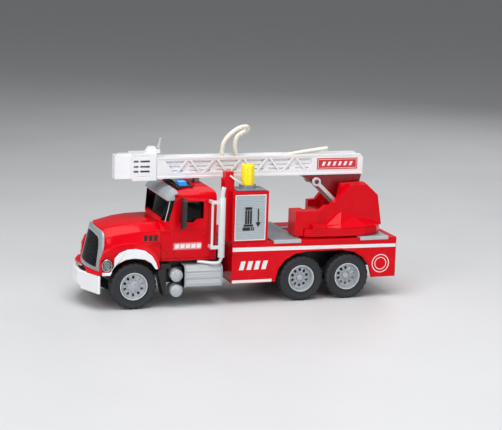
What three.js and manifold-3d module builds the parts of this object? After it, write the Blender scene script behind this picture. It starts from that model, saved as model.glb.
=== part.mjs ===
// Toy ladder fire engine: a moulded plastic push-along truck with a turning,
// rising, telescoping ladder, a press-down water pump and a press button in
// the roof light bar.
// Millimetres, +Z up. The front of the truck points to -X, its left side to
// -Y. The origin is the middle of the bounding box at floor level.
import * as THREE from 'three';
import { mergeVertices } from 'three/addons/utils/BufferGeometryUtils.js';
import Module from 'manifold-3d';

const wasm = await Module();
wasm.setup();

// ---- driving dimensions -------------------------------------------------
const GAP = 0.3;                 // clearance between neighbouring pieces
const FRONT = -159, REAR = 159;  // overall length 318
const HALF_W = 45;               // body half width
const AXLES = [-111, 58.8, 107.6];
const WHEEL_R = 22.5, RIM_R = 13.5, TYRE_IN = 31, TYRE_OUT = 45, AXLE_R = 1.5;
const DECK_Z = 61;               // top of the rear deck
const BODY_X0 = -14, BODY_Z0 = 20.6;
const CAB_X0 = -84, CAB_X1 = -29, CAB_Z0 = 45, CAB_HALF = 40;
const PUMP_X = 4.6, PUMP_Y = -30, PLUNGER_R = 6.5, PUMP_TRAVEL = 16;
const BOX_TOP = 111.3;           // top of the pump housing
const PIV_X = 103;               // turret swivel axis
const BOOM_X = 125, BOOM_Z = 104;  // ladder elevation pin
const LAD_Z0 = 119.6, LAD_Z1 = 140.3, LAD_HALF = 9, LAD_X0 = -81.2, LAD_X1 = 134;
const RING_X = 83.5, RING_Z = 113.1; // ram ring on the boom
const HOSE_D = 4.4;

// ---- helpers ------------------------------------------------------------
function toSolid(geo) {
  const g = geo.index ? geo.clone() : geo.clone();
  g.deleteAttribute('normal');
  g.deleteAttribute('uv');
  const m = mergeVertices(g, 1e-4);
  const pos = m.attributes.position.array, idx = m.index.array, tri = [];
  for (let i = 0; i < idx.length; i += 3) {
    const a = idx[i], b = idx[i + 1], c = idx[i + 2];
    if (a !== b && b !== c && a !== c) tri.push(a, b, c);
  }
  return new wasm.Manifold(new wasm.Mesh({
    numProp: 3, vertProperties: Float32Array.from(pos), triVerts: Uint32Array.from(tri) }));
}
function raw(verts, tris) {
  // closed mesh given by hand; turned right side out if its volume is negative
  let vol = 0;
  const v = (i) => new THREE.Vector3(...verts[i]);
  for (const [a, b, c] of tris) vol += v(a).dot(v(b).cross(v(c)));
  const t = vol < 0 ? tris.map(([a, b, c]) => [a, c, b]) : tris;
  const g = new THREE.BufferGeometry();
  g.setAttribute('position', new THREE.BufferAttribute(Float32Array.from(verts.flat()), 3));
  g.setIndex(t.flat());
  return toSolid(g);
}
const cat = (...s) => s.flat().reduce((a, b) => a.add(b));
const cut = (a, ...s) => s.flat().reduce((x, y) => x.subtract(y), a);
const both = (f) => [f(-1), f(1)];
function box(x0, x1, y0, y1, z0, z1) {
  const lo = (a, b) => Math.min(a, b), sz = (a, b) => Math.abs(b - a);
  const g = new THREE.BoxGeometry(sz(x0, x1), sz(y0, y1), sz(z0, z1));
  g.translate(lo(x0, x1) + sz(x0, x1) / 2, lo(y0, y1) + sz(y0, y1) / 2, lo(z0, z1) + sz(z0, z1) / 2);
  return toSolid(g);
}
function cylinder(axis, r, a0, a1, c, seg = 20, r2 = null) {
  // cylinder or cone along an axis from a0 to a1; c = the other two coordinates
  const lo = Math.min(a0, a1), len = Math.abs(a1 - a0);
  const g = new THREE.CylinderGeometry(r2 ?? r, r, len, seg);
  g.rotateY(Math.PI / seg);
  g.translate(0, lo + len / 2, 0);
  if (axis === 'z') { g.rotateX(Math.PI / 2); g.translate(c[0], c[1], 0); }
  if (axis === 'x') { g.rotateZ(-Math.PI / 2); g.translate(0, c[0], c[1]); }
  if (axis === 'y') g.translate(c[0], 0, c[1]);
  return toSolid(g);
}
function shapeOf(pts, holes = []) {
  const s = new THREE.Shape(pts.map(([a, b]) => new THREE.Vector2(a, b)));
  for (const h of holes) s.holes.push(new THREE.Path(h.map(([a, b]) => new THREE.Vector2(a, b))));
  return s;
}
function prismY(pts, y0, y1, holes = []) {        // outline in X,Z
  const a = Math.min(y0, y1), d = Math.abs(y1 - y0);
  const g = new THREE.ExtrudeGeometry(shapeOf(pts, holes), { depth: d, bevelEnabled: false, steps: 1 });
  g.rotateX(Math.PI / 2);
  g.translate(0, a + d, 0);
  return toSolid(g);
}
function prismX(pts, x0, x1, holes = []) {        // outline in Y,Z
  const g = new THREE.ExtrudeGeometry(shapeOf(pts, holes), { depth: x1 - x0, bevelEnabled: false, steps: 1 });
  g.applyMatrix4(new THREE.Matrix4().makeBasis(
    new THREE.Vector3(0, 1, 0), new THREE.Vector3(0, 0, 1), new THREE.Vector3(1, 0, 0)));
  g.translate(x0, 0, 0);
  return toSolid(g);
}
function prismZ(pts, z0, z1, holes = []) {        // outline in X,Y
  const g = new THREE.ExtrudeGeometry(shapeOf(pts, holes), { depth: z1 - z0, bevelEnabled: false, steps: 1 });
  g.translate(0, 0, z0);
  return toSolid(g);
}
function spun(profile, seg, x, z, side) {
  // profile of (radius, distance from the centre plane) spun about a Y axis
  const k = 1 / Math.cos(Math.PI / seg);
  let pts = profile.map(([r, h]) => new THREE.Vector2(r * k, h * side));
  if (side < 0) pts = pts.reverse();
  const closed = profile[0][0] !== 0 || profile[profile.length - 1][0] !== 0;
  if (closed) pts.push(pts[0].clone());
  const g = new THREE.LatheGeometry(pts, seg);
  g.rotateY(Math.PI / seg);
  g.translate(x, 0, z);
  return outward(g);
}
function spunZ(profile, seg, x, y) {
  let pts = profile.map(([r, h]) => new THREE.Vector2(r, h));
  const closed = profile[0][0] !== 0 || profile[profile.length - 1][0] !== 0;
  if (closed) pts.push(pts[0].clone());
  const g = new THREE.LatheGeometry(pts, seg);
  g.rotateX(Math.PI / 2);
  g.translate(x, y, 0);
  return outward(g);
}
function outward(g) {
  const n = mergeVertices((() => { const q = g.clone(); q.deleteAttribute('normal'); q.deleteAttribute('uv'); return q; })(), 1e-4);
  const p = n.attributes.position, verts = [], tris = [];
  for (let i = 0; i < p.count; i++) verts.push([p.getX(i), p.getY(i), p.getZ(i)]);
  for (let i = 0; i < n.index.count; i += 3) {
    const a = n.index.getX(i), b = n.index.getX(i + 1), c = n.index.getX(i + 2);
    if (a !== b && b !== c && a !== c) tris.push([a, b, c]);
  }
  return raw(verts, tris);
}
function tube(points, r, seg, steps, smooth = true) {
  const v = points.map((p) => new THREE.Vector3(...p));
  let path;
  if (smooth) path = new THREE.CatmullRomCurve3(v, false, 'centripetal');
  else { path = new THREE.CurvePath(); for (let i = 1; i < v.length; i++) path.add(new THREE.LineCurve3(v[i - 1], v[i])); }
  const ring = [];
  for (let i = 0; i < seg; i++) {
    const a = (i + 0.5) / seg * 2 * Math.PI;
    ring.push([r * Math.cos(a), r * Math.sin(a)]);
  }
  const g = new THREE.ExtrudeGeometry(shapeOf(ring), { steps, extrudePath: path, bevelEnabled: false });
  return outward(g);
}
function loft(sections, u = 1, v = 2) {
  // skins equal-length rings of points and closes both ends
  const n = sections[0].length, verts = sections.flat(), tris = [];
  for (let s = 0; s + 1 < sections.length; s++) for (let i = 0; i < n; i++) {
    const j = (i + 1) % n, a = s * n + i, b = s * n + j, c = a + n, d = b + n;
    tris.push([a, b, d], [a, d, c]);
  }
  for (const [s, flip] of [[0, true], [sections.length - 1, false]]) {
    const ring = sections[s].map((p) => new THREE.Vector2(p[u], p[v]));
    for (const t of THREE.ShapeUtils.triangulateShape(ring, [])) {
      const q = t.map((i) => s * n + i);
      tris.push(flip ? [q[0], q[2], q[1]] : q);
    }
  }
  // the end caps must run against the skin's direction
  const count = new Map();
  for (const [a, b, c] of tris) for (const [p, q] of [[a, b], [b, c], [c, a]])
    count.set(p + '_' + q, (count.get(p + '_' + q) ?? 0) + 1);
  if ([...count.values()].some((k) => k > 1)) {
    const skin = (sections.length - 1) * n * 2;
    for (let i = skin; i < tris.length; i++) tris[i] = [tris[i][0], tris[i][2], tris[i][1]];
  }
  return raw(verts, tris);
}
function inset(poly, d) {
  // moves every edge of a counter-clockwise outline inwards by d
  let area = 0;
  for (let i = 0; i < poly.length; i++) {
    const [x0, y0] = poly[i], [x1, y1] = poly[(i + 1) % poly.length];
    area += x0 * y1 - x1 * y0;
  }
  const p = area < 0 ? [...poly].reverse() : poly, n = p.length, lines = [];
  for (let i = 0; i < n; i++) {
    const [x0, y0] = p[i], [x1, y1] = p[(i + 1) % n], l = Math.hypot(x1 - x0, y1 - y0);
    const nx = -(y1 - y0) / l, ny = (x1 - x0) / l;
    lines.push([x0 + nx * d, y0 + ny * d, (x1 - x0) / l, (y1 - y0) / l]);
  }
  const out = [];
  for (let i = 0; i < n; i++) {
    const [ax, ay, ux, uy] = lines[(i + n - 1) % n], [bx, by, vx, vy] = lines[i];
    const den = ux * vy - uy * vx;
    if (Math.abs(den) < 1e-9) { out.push([bx, by]); continue; }   // straight through
    const t = ((bx - ax) * vy - (by - ay) * vx) / den;
    out.push([ax + ux * t, ay + uy * t]);
  }
  return out;
}
const mirrorPts = (half) => [...half, ...half.filter(([a]) => a !== 0).reverse().map(([a, b]) => [-a, b])];

const toy = new THREE.Group();
toy.name = 'toy_fire_engine';
function piece(name, solid, color, roughness = 0.35, metalness = 0, parent = toy) {
  const m = solid.getMesh();
  const g = new THREE.BufferGeometry();
  g.setAttribute('position', new THREE.BufferAttribute(Float32Array.from(m.vertProperties), 3));
  g.setIndex(Array.from(m.triVerts));
  g.computeVertexNormals();
  const mesh = new THREE.Mesh(g, new THREE.MeshStandardMaterial({ color, roughness, metalness }));
  mesh.name = name;
  parent.add(mesh);
  return mesh;
}
const RED = 0xd3061b, DARKRED = 0x8f0716, WHITE = 0xf4f5f8, SILVER = 0xa9b1b6, GREY = 0x8f979c,
  BLACK = 0x17181b, TYRE = 0x2c2f33, YELLOW = 0xffdc1e, BLUE = 0x2b7fd0, STEEL = 0xb9bdc1;

// ---- chassis: one black moulding with axle bosses and mud flaps ----------
let chassis = cat(
  box(-138, 150, -15, 15, 26, 44),
  AXLES.map((x) => box(x - 6, x + 6, -27, 27, 16.5, 38)),
  box(-153.6, -136, -12, 12, 24, 32.5),
  box(-80, -29.5, -36, 36, 43.4, 44.7),
  box(-76, -26, -31, 31, 22, 43.6),
  box(-84.6, -75, -43.5, 43.5, 38.2, 43.2),
  both((s) => prismY([[-87.4, 34], [-87.4, 37.4], [-84.6, 38.6], [-79.6, 38.6], [-79.2, 11.5], [-81.6, 11.5]], s * 29.5, s * 44.4)),
  box(-8, 26, -14, 14, 20.2, 27));
chassis = cut(chassis, AXLES.map((x) => cylinder('y', AXLE_R + GAP, -30, 30, [x, WHEEL_R], 20)),
  box(-60, -34, -12, 12, 20, 40),                       // open bay under the cab
  box(30, 92, -11, 11, 31, 60), box(-4, 22, -12, 12, 30, 60),
  cylinder('z', 10.5, 30, 60, [PIV_X, 0], 20));
piece('chassis_frame', chassis, BLACK, 0.5);

// ---- bumper ---------------------------------------------------------------
const bumperOut = [[-145.6, -45], [-158.7, -13.5], [FRONT, -11], [FRONT, 11], [-158.7, 13.5], [-145.6, 45]];
const bumper = cut(prismZ([...bumperOut, [-143.3, 44.2], [-155, 13], [-155, -13], [-143.3, -44.2]], 16.5, 34.3),
  box(-165, -150, -17, 17, 10, 20));
piece('front_bumper', bumper, WHITE, 0.25);

// ---- grille ---------------------------------------------------------------
const noseX = (y, z) => -151.2 + 7.2 * Math.pow(Math.abs(y) / 35.5, 2.2) + 9 * (z - 36) / 37;
function noseSlab(front, back, z0 = 36.5, z1 = 79, half = 36.4, ny = 16, nz = 2) {
  // sheet that follows the curve of the nose between two depths
  const rings = [];
  for (let j = 0; j <= nz; j++) {
    const z = z0 + (z1 - z0) * j / nz, f = [], b = [];
    for (let i = 0; i <= ny; i++) {
      const y = -half + 2 * half * i / ny;
      f.push([front === null ? -175 : noseX(y, z) + front, y, z]);
      b.push([noseX(y, z) + back, y, z]);
    }
    rings.push([...f, ...b.reverse()]);
  }
  const n = rings[0].length, verts = rings.flat(), tris = [], w = n / 2;
  for (let s = 0; s < nz; s++) for (let i = 0; i < n; i++) {
    const j = (i + 1) % n, a = s * n + i, b = s * n + j;
    tris.push([a, b, b + n], [a, b + n, a + n]);
  }
  for (let i = 0; i + 1 < w; i++) {
    const p = i, q = i + 1, r = n - 2 - i, t = n - 1 - i, u = nz * n;
    tris.push([p, r, q], [p, t, r], [u + p, u + q, u + r], [u + p, u + r, u + t]);
  }
  return raw(verts, tris);
}
const surroundOut = mirrorPts([[0, 36.6], [35.4, 36.6], [33.5, 49], [31, 61.4], [28.7, 68], [26.4, 71.4], [23.4, 73.2], [12, 74.2], [0, 74.4]]);
const surroundIn = mirrorPts([[0, 39.4], [29.6, 39.4], [27.5, 50], [25.2, 60], [22, 65.6], [18, 67.7], [8, 69], [0, 69.2]]);
const surround = cut(noseSlab(0, 2.4).intersect(prismX(surroundOut, -165, -125)), prismX(surroundIn, -165, -125));
piece('grille_surround', surround, SILVER, 0.3, 0.5);
piece('grille_mesh', noseSlab(0.8, 2.4).intersect(prismX(inset(surroundIn, GAP), -165, -125)), BLACK, 0.5);

// ---- hood and front fenders ------------------------------------------------
const lerpTable = (t, x) => {
  for (let i = 1; i < t.length; i++) if (x <= t[i][0]) {
    const [x0, y0] = t[i - 1], [x1, y1] = t[i];
    return y0 + (y1 - y0) * Math.max(0, (x - x0) / (x1 - x0));
  }
  return t[t.length - 1][1];
};
const crownZ = (x) => lerpTable([[-152, 71], [-141, 75], [-129, 77.2], [-119, 79.4], [-109, 80.8], [-100, 81.6], [-84, 82]], x);
const creaseZ = (x) => lerpTable([[-152, 69.4], [-141, 72.8], [-129, 75.6], [-119, 78.1], [-109, 79.5], [-100, 80.1], [-84, 80.3]], x);
const creaseY = (x) => lerpTable([[-152, 23.6], [-138, 24.6], [-120, 26], [-104, 27], [-84, 28]], x);
const beltZ = (x) => lerpTable([[-152, 56], [-141, 62.6], [-138, 65.4], [-134.4, 68.4], [-122.8, 70.9], [-107, 72.9], [-91.3, 74.1], [-84, 74.4]], x);
const beltY = (x) => lerpTable([[-152, 29.6], [-138, 31.2], [-134, 31.9], [-122, 34], [-107, 36], [-91, 38], [-84, 38.8]], x);
const hipY = (x) => lerpTable([[-152, 31.6], [-141, 33], [-134, 35.6], [-120, 38.8], [-100, 39.8], [-84, 40]], x);
const wallY = (x) => lerpTable([[-152, 34], [-141, 35], [-134, 37.4], [-120, 39.6], [-84, 40]], x);
const hoodSection = (x, d) => {
  const c = creaseZ(x) - d, t = crownZ(x) - d, yc = creaseY(x) - d, yb = beltY(x) - d, zb = beltZ(x);
  const z0 = d > 0 ? 38 : 45.4;
  return mirrorPts([[0, t], [0.55 * yc, c + 0.78 * (t - c)], [yc - 2, c + 0.6], [yc, c - 0.8], [yb - 0.8, zb + 0.9], [yb, zb - 0.5], [hipY(x) - d, Math.min(62, zb - 3)], [wallY(x) - d, z0], [0, z0]])
    .map(([y, z]) => [x, y, z]);
};
const hoodStations = (d) => [-152, -142, -137, -129, -117, -103, -90, -84.3].map((x) => hoodSection(x, d));
const wellCut = both((s) => cylinder('y', 27.4, s * 28, s * 47, [AXLES[0], WHEEL_R], 32));
const flareOut = [[-143.6, 36], [-143.2, 47.5], [-139.6, 56], [-130.5, 61.6], [-118, 64], [-106, 63.6], [-96, 59.6], [-89.5, 52.5], [-86.4, 45], [-85.4, 39.4]];
let hood = cat(cut(loft(hoodStations(0)), noseSlab(null, 2.7, 36.31, 90, 42)), both((s) => prismY(flareOut, s * 34, s * 44.5)),
  prismZ([[-150.8, -6], [-151.2, -12], [-152.6, -20], [-153, -26], [-150.6, -32], [-147.2, -40], [-145.8, -43.6], [-137, -43.5], [-137, -30], [-143, 0], [-137, 30], [-137, 43.5], [-145.8, 43.6], [-147.2, 40], [-150.6, 32], [-153, 26], [-152.6, 20], [-151.2, 12], [-150.8, 6]], 34.6, 36.3));
hood = cut(hood, loft([-160, -142, -137, -129, -117, -103, -90, -82].map((x) => hoodSection(x, 2.2))).intersect(box(-135.8, -86, -50, 50, 30, 90)),
  noseSlab(null, 2.7, 36.31, 90, 36), wellCut,
  box(-160, -80, -60, 60, 20, 34.5),
  both((s) => prismY([[-101, 65.4], [-101, 70], [-88, 70.8], [-88, 66.2]], s * 38.9, s * 42)),
  both((s) => cylinder('y', 6.6, s * 41.9, s * 47, [-137.6, 44.3], 20)));
piece('hood', hood, RED, 0.2);

// ---- headlights and white arch trims -----------------------------------------
for (const [n, s] of [['left', -1], ['right', 1]]) {
  piece('headlight_' + n, cat(cylinder('y', 6.2, s * 42.2, s * 44.9, [-137.6, 44.3], 20), cylinder('y', 6.2, s * 44.9, s * 46, [-137.6, 44.3], 20, null))
    .intersect(box(-142.4, -132.4, -60, 60, 36, 52)), 0xc9cdd0, 0.15);
  const trimOut = [[-142.4, 34.6], [-142.2, 37.6], [-134.6, 37.6], [-131, 43], [-130.6, 51], [-126, 56], [-118, 59], [-110, 59.4], [-101, 57.3], [-94, 52], [-89.8, 45], [-88, 39]];
  const trimIn = [[-90.6, 39], [-94.5, 44.8], [-101, 48.8], [-111, 50.3], [-120, 49.4], [-127, 46], [-132, 40.5], [-134.4, 34.6]];
  piece('fender_trim_' + n, prismY([...trimOut, ...trimIn], s * 44.8, s * 46.6), WHITE, 0.25);
}

// ---- cab ------------------------------------------------------------------
const cabSide = [[CAB_X0, CAB_Z0], [CAB_X1, CAB_Z0], [CAB_X1, 109], [-30.4, 112.2], [-34, 114.2], [-42, 114.7], [-52, 113.8], [-62, 111.8], [-72.6, 109.2], [-76.6, 103.5], [-80.6, 83.5], [CAB_X0, 82]];
const cabCross = mirrorPts([[0, CAB_Z0 - 2], [CAB_HALF, CAB_Z0 - 2], [CAB_HALF, 100.5], [38.6, 107.2], [35.4, 111], [26, 113.4], [12, 114.7], [0, 114.9]]);
const cabPlan = [[-84.6, -14], [-84.6, 14], [-82.4, 28], [-78.2, 37], [-73.5, CAB_HALF], [CAB_X1, CAB_HALF], [CAB_X1, -CAB_HALF], [-73.5, -CAB_HALF], [-78.2, -37], [-82.4, -28]];
const cabSolid = (d) => prismY(inset(cabSide, d), -60, 60)
  .intersect(prismX(inset(cabCross, d), -100, 0)).intersect(prismZ(inset(cabPlan, d), 20, 130));
// below the windscreen the cowl keeps the section of the hood's rear end
const cowl = (d) => mirrorPts([[0, CAB_Z0 - d], [CAB_HALF - d, CAB_Z0 - d], [CAB_HALF - d, 70], [38.8 - d, 74.4 - d], [28 - d, 80.2 - d], [0, 81.9 - d]]);
const cabOuter = cabSolid(0).add(prismX(cowl(0), -83.9, -60));
const cabInner = cabSolid(2.2).add(prismX(cowl(2.2), -81.7, -60)).add(box(-70, -31.2, -37.8, 37.8, 40, 60));
const sideWindow = [[-66, 82.2], [-64.8, 102], [-43, 102], [-42, 101], [-42, 85.4], [-49, 84.9], [-52.5, 81.8]];
const screen = [[-38.6, 84], [38.6, 84], [37.6, 104.6], [-37.6, 104.6]];
let cab = cut(cabOuter, cabInner, both((s) => prismY(sideWindow, s * 33, s * 45)),
  prismX(screen, -95, -74.2).intersect(prismY([[-95, 84], [-75.6, 84], [-72.2, 104.6], [-95, 104.6]], -45, 45)),
  cylinder('z', 3, 100, 120, [-58, 0], 16));
piece('cab_shell', cab, RED, 0.2);
let glass = cabSolid(2.5).intersect(box(-90, -35, -45, 45, 80.4, 106.4));
glass = cut(glass, cabSolid(4.2).intersect(box(-90, -36, -45, 45, 70, 110)), box(-38, -30, -34, 34, 70, 120));
glass = cut(glass, cabSolid(4.2).intersect(box(-74, -20, -45, 45, 70, 110)), box(-60, -20, -33.6, 33.6, 70, 120));
piece('window_insert', glass, BLACK, 0.1);

// ---- sound and light module under the roof, with its speaker ------------------
piece('sound_module', cat(box(-66, -42, -15, 15, 90, 103.4), cylinder('z', 9, 84, 90.5, [-53, 0], 20)), 0x30343a, 0.5);

// ---- visor, light bar, ladder rest ---------------------------------------------
let visor = prismY([[-79.4, 104], [-79.7, 105.2], [-76.8, 108.9], [-73, 111.4], [-68.6, 113.1], [-68.6, 110], [-73, 107.5], [-77, 104.2]], -41.6, 41.6);
visor = cut(visor, cabSolid(-GAP), box(-77, -60, -40.3, 40.3, 95, 108));
visor = cat(visor, both((s) => prismY([[-79.4, 104], [-76.8, 108.6], [-73.4, 110.4], [-71.8, 109.6], [-71.2, 105.4], [-72.4, 104]], s * 40.35, s * 41.8)));
piece('sun_visor', visor, SILVER, 0.3, 0.4);
const lbBase = cut(box(-65.1, -48.6, -26, 26, 108, 114.6), cabSolid(-GAP), cylinder('z', 3, 105, 120, [-58, 0], 16));
piece('lightbar_base', lbBase, BLACK, 0.4);
piece('blue_lenses', cat(both((s) => prismX([[s * 8.2, 114.9], [s * 24.6, 114.9], [s * 22.6, 118.6], [s * 8.2, 118.6]], -62.6, -55)), box(-54.6, -53.4, -24, 24, 114.9, 115.8)).add(
  box(-55.4, -53.4, -24, -9, 114.9, 115.8)).add(box(-55.4, -53.4, 9, 24, 114.9, 115.8)), BLUE, 0.15);
piece('light_button', cat(prismX([[-7.6, 115.9], [7.6, 115.9], [6.9, 118.7], [-6.9, 118.7]], -62.6, -55), cylinder('z', 2.6, 104.8, 116.2, [-58, 0], 16)), YELLOW, 0.2);
piece('ladder_rest', cut(box(-41.6, -37, -6, 6, 106, 119.3), cabSolid(-GAP)), 0x9a9aa6, 0.3);

// ---- mirrors ------------------------------------------------------------------
for (const [n, s] of [['left', -1], ['right', 1]]) {
  piece('mirror_' + n, cat(
    prismX([[s * 43.4, 82], [s * 45, 79], [s * 50.6, 79], [s * 52, 82], [s * 52, 103], [s * 50.6, 105.4], [s * 45, 105.4], [s * 43.4, 103]], -66, -62),
    box(-65.4, -63, s * 40.35, s * 47, 105, 107), box(-65.4, -63, s * 40.35, s * 47, 76.6, 79.4)), 0x3a3c40, 0.4);
}

// ---- exhaust stacks, each with its clamp rod and elbow -----------------------------
for (const [n, s] of [['left', -1], ['right', 1]]) {
  const X = -26.8, Y = s * 50;
  piece('exhaust_stack_' + n, cat(
    cylinder('z', 3.2, 49, 107, [X, Y], 16),
    tube([[X, Y, 105], [X, Y, 110], [X + 0.4, Y, 113.6], [X + 1.4, Y, 117.2]], 2.3, 10, 4),
    tube([[X, Y, 51], [X - 0.2, Y, 46.4], [X - 2.2, s * 49.6, 43.6], [X - 6, s * 48, 43], [X - 14, s * 42.4, 43], [X - 20, s * 38.2, 43]], 1.6, 8, 8),
    box(-37.4, X, s * 47.4, s * 50.8, 101, 104), box(-37.4, X, s * 47.4, s * 50.8, 57.2, 60.2),
    box(-37.4, -34.4, s * 40.35, s * 50.8, 101.2, 103.8), box(-37.4, -34.4, s * 40.35, s * 50.8, 57.4, 60),
    cylinder('z', 1.2, 57.4, 103.8, [-35.9, s * 48.6], 12)), 0xbfc4c6, 0.35, 0.3);
}

// ---- fuel tank step with the two round air tanks --------------------------------------
for (const [n, s] of [['left', -1], ['right', 1]]) {
  const prof = [[31.3, 20], [43.6, 19], [46.8, 20.4], [48, 23.6], [48, 36.4], [46.8, 39.6], [43.6, 41], [31.3, 41]].map(([y, z]) => [s * y, z]);
  piece('side_tanks_' + n, cat(prismX(prof, -62, -24), cylinder('y', 6, s * 31.3, s * 48, [-69.6, 31.9], 20),
    cylinder('y', 6, s * 31.3, s * 48, [-69.6, 16.9], 20), box(-71, -61, s * 31.3, s * 37, 19, 38)), GREY, 0.4, 0.3);
}

// ---- rear body: deck, skirts, front and rear walls in one moulding ------------------------
const archPts = [[30.8, 10], [31.2, 24], [34, 34], [40.5, 42], [51, 48], [64, 50], [100, 50], [113, 47.6], [123, 41.6], [130, 33], [133, 22], [133.4, 10]];
let rear = cut(box(BODY_X0, REAR, -HALF_W, HALF_W, BODY_Z0, DECK_Z), box(BODY_X0 + 2.4, REAR - 2.4, -HALF_W + 3, HALF_W - 3, 0, 57.4));
const lip = inset(archPts, -1.6);
rear = cat(rear, both((s) => prismY(lip, s * 43, s * 45.9).intersect(box(28, 136, -50, 50, BODY_Z0, 55))));
rear = cut(rear, prismY(archPts, -60, 60), box(-20, -5, -15.4, 15.4, 0, 44.4), cylinder('z', 8.6, 50, 65, [PIV_X, 0], 24), cylinder('z', 7.4, 50, 65, [8, 28], 20));
piece('rear_body', rear, RED, 0.2);
piece('deck_plates', cut(cat(box(27, 57, -42.6, 42.6, 61.3, 62.3), box(118, 150, -42.6, 42.6, 61.3, 62.3),
  both((s) => box(56, 119, s * 12, s * 20, 61.3, 62)))), 0x9aa1a8, 0.5, 0.2);
piece('water_tank', cat(box(-10, 25, 16, 41, 25, 56.6), cylinder('z', 7, 56, 65, [8, 28], 20), cylinder('z', 6, 64, 67, [8, 28], 20)), 0xe9ecef, 0.3);
piece('battery_cover', box(-7, 25, -13.5, 13.5, 18.4, 19.9), BLACK, 0.5);

// ---- pump housing with the outlet tower ----------------------------------------------------
let housing = cat(box(-14.7, 22, -HALF_W, -18.5, DECK_Z + GAP, BOX_TOP), box(-20.8, -10.8, -36.5, -25, DECK_Z + GAP, 122.5), box(-19.8, -11.4, -35.6, -26, 122, 129.4));
housing = cut(housing, box(-12.5, 19.8, -42.6, -20.5, 60, BOX_TOP - 2), cylinder('z', PLUNGER_R + 0.35, 100, 115, [PUMP_X, PUMP_Y], 24),
  box(-12.1, 19.3, -46, -44, 63.2, 108.1), box(-18.6, -14.4, -34.4, -27, 60, 118));
piece('pump_housing', housing, RED, 0.2);
piece('shutter_panel', box(-11.7, 18.9, -45.1, -44.3, 63.6, 107.7), 0x9aa6ad, 0.4, 0.3);
piece('pump_collar', cut(cat(box(-10.4, 19.8, -43, -20.5, BOX_TOP + GAP, BOX_TOP + 1.1), cylinder('z', 8.3, BOX_TOP + GAP, 116, [PUMP_X, PUMP_Y], 24)),
  cylinder('z', PLUNGER_R + 0.35, 100, 120, [PUMP_X, PUMP_Y], 24)), 0x7f8390, 0.35);
piece('pump_cylinder', cut(cylinder('z', 8, 63, BOX_TOP - 2.3, [PUMP_X, PUMP_Y], 24), cylinder('z', PLUNGER_R + 0.35, 65.5, 120, [PUMP_X, PUMP_Y], 24)), 0xe4e6e8, 0.3);
piece('pump_plunger', cylinder('z', PLUNGER_R, 96, 135.3, [PUMP_X, PUMP_Y], 24), YELLOW, 0.25);
const coil = [];
for (let i = 0; i <= 60; i++) { const a = i / 60 * 2 * Math.PI * 5; coil.push([PUMP_X + 4.9 * Math.cos(a), PUMP_Y + 4.9 * Math.sin(a), 66.6 + 28.4 * i / 60]); }
piece('pump_spring', tube(coil, 0.6, 4, 60), STEEL, 0.3, 0.9);
piece('pump_line', tube([[-15.6, -36.9, 126], [-14.6, -37.6, 125.2], [-11, -38.4, 122.4], [-6.4, -38.2, 119.6], [-3.4, -37, 117.6], [-2.6, -35.8, 116.9]], 1, 8, 10), 0xf2eeea, 0.35);

// ---- wheels -------------------------------------------------------------------------------
const tyreProfile = [[13.8, -6.3], [20.2, -7], [22.5, -5], [22.5, 5], [20.2, 7], [13.8, 6.3]];
const frontRim = [[0, 5.4], [4.6, 5.4], [5.2, 4.2], [11, 3.6], [12.2, 6.2], [RIM_R, 6.2], [RIM_R, -6], [11.6, -6], [AXLE_R + GAP, -0.4], [AXLE_R + GAP, 2], [0, 2]];
const rearRim = [[0, 4.4], [3.4, 3.8], [4.2, 1.4], [10.2, 0.6], [12.2, 6.2], [RIM_R, 6.2], [RIM_R, -6], [11.4, -6], [AXLE_R + GAP, -3], [AXLE_R + GAP, -0.4], [0, -0.4]];
const MID = (TYRE_IN + TYRE_OUT) / 2;
['front', 'middle', 'rear'].forEach((w, i) => {
  const x = AXLES[i], rim = i === 0 ? frontRim : rearRim, end = MID + (i === 0 ? 1.7 : -0.7);
  piece(w + '_axle', cylinder('y', AXLE_R, -end, end, [x, WHEEL_R], 16), STEEL, 0.25, 0.9);
  for (const [n, s] of [['left', -1], ['right', 1]]) {
    const t = spun(tyreProfile.map(([r, h]) => [r, h + MID]), 32, x, WHEEL_R, s);
    piece(`${w}_tyre_${n}`, t, TYRE, 0.8);
    piece(`${w}_rim_${n}`, spun(rim.map(([r, h]) => [r === RIM_R ? RIM_R * Math.cos(Math.PI / 24) : r, h + MID]), 24, x, WHEEL_R, s), SILVER, 0.35, 0.4);
  }
});

// ---- turret: turning base, two side shells and the pin --------------------------------------
const turret = new THREE.Group();
toy.add(turret);
const foot = [[63, -23], [63.4, -36], [70, -38.4], [100, -41.6], [126, -41], [141, -35], [148.4, -24]];
// the far side starts further back, where there is no operator box
const footAll = [...foot, [148.4, 24], [141, 35], [126, 41], [108, 41.2], [97, 38.4], [88, 30], [80, 16]];
piece('turret_base', cut(cat(prismZ(footAll, 62.8, 70.5), cylinder('z', 8.2, 48, 63, [PIV_X, 0], 24), cylinder('z', 9.8, 46, 48.1, [PIV_X, 0], 24),
  prismY([[84, 70], [85, 84], [95, 84], [97, 70]], -12.6, 12.6)), cylinder('z', 3, 60, 71, [PIV_X, 0], 16)), RED, 0.2, 0, turret);
const cheekNear = [[63, 70.8], [63.4, 73], [88.6, 91.4], [94, 92], [115, 112], [131.6, 112], [143.6, 101], [145.6, 89], [148.6, 70.8]];
const cheekFar = [[88, 70.8], [88, 88.2], [97, 88.8], [115, 112], [131.6, 112], [143.6, 101], [145.6, 89], [148.6, 70.8]];
const cheekInner = [[101, 70.8], [104.2, 98.5], [106.4, 110.8], [107.6, 111.8], [131.6, 113], [142, 104], [144.6, 89], [147, 70.8]];
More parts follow.
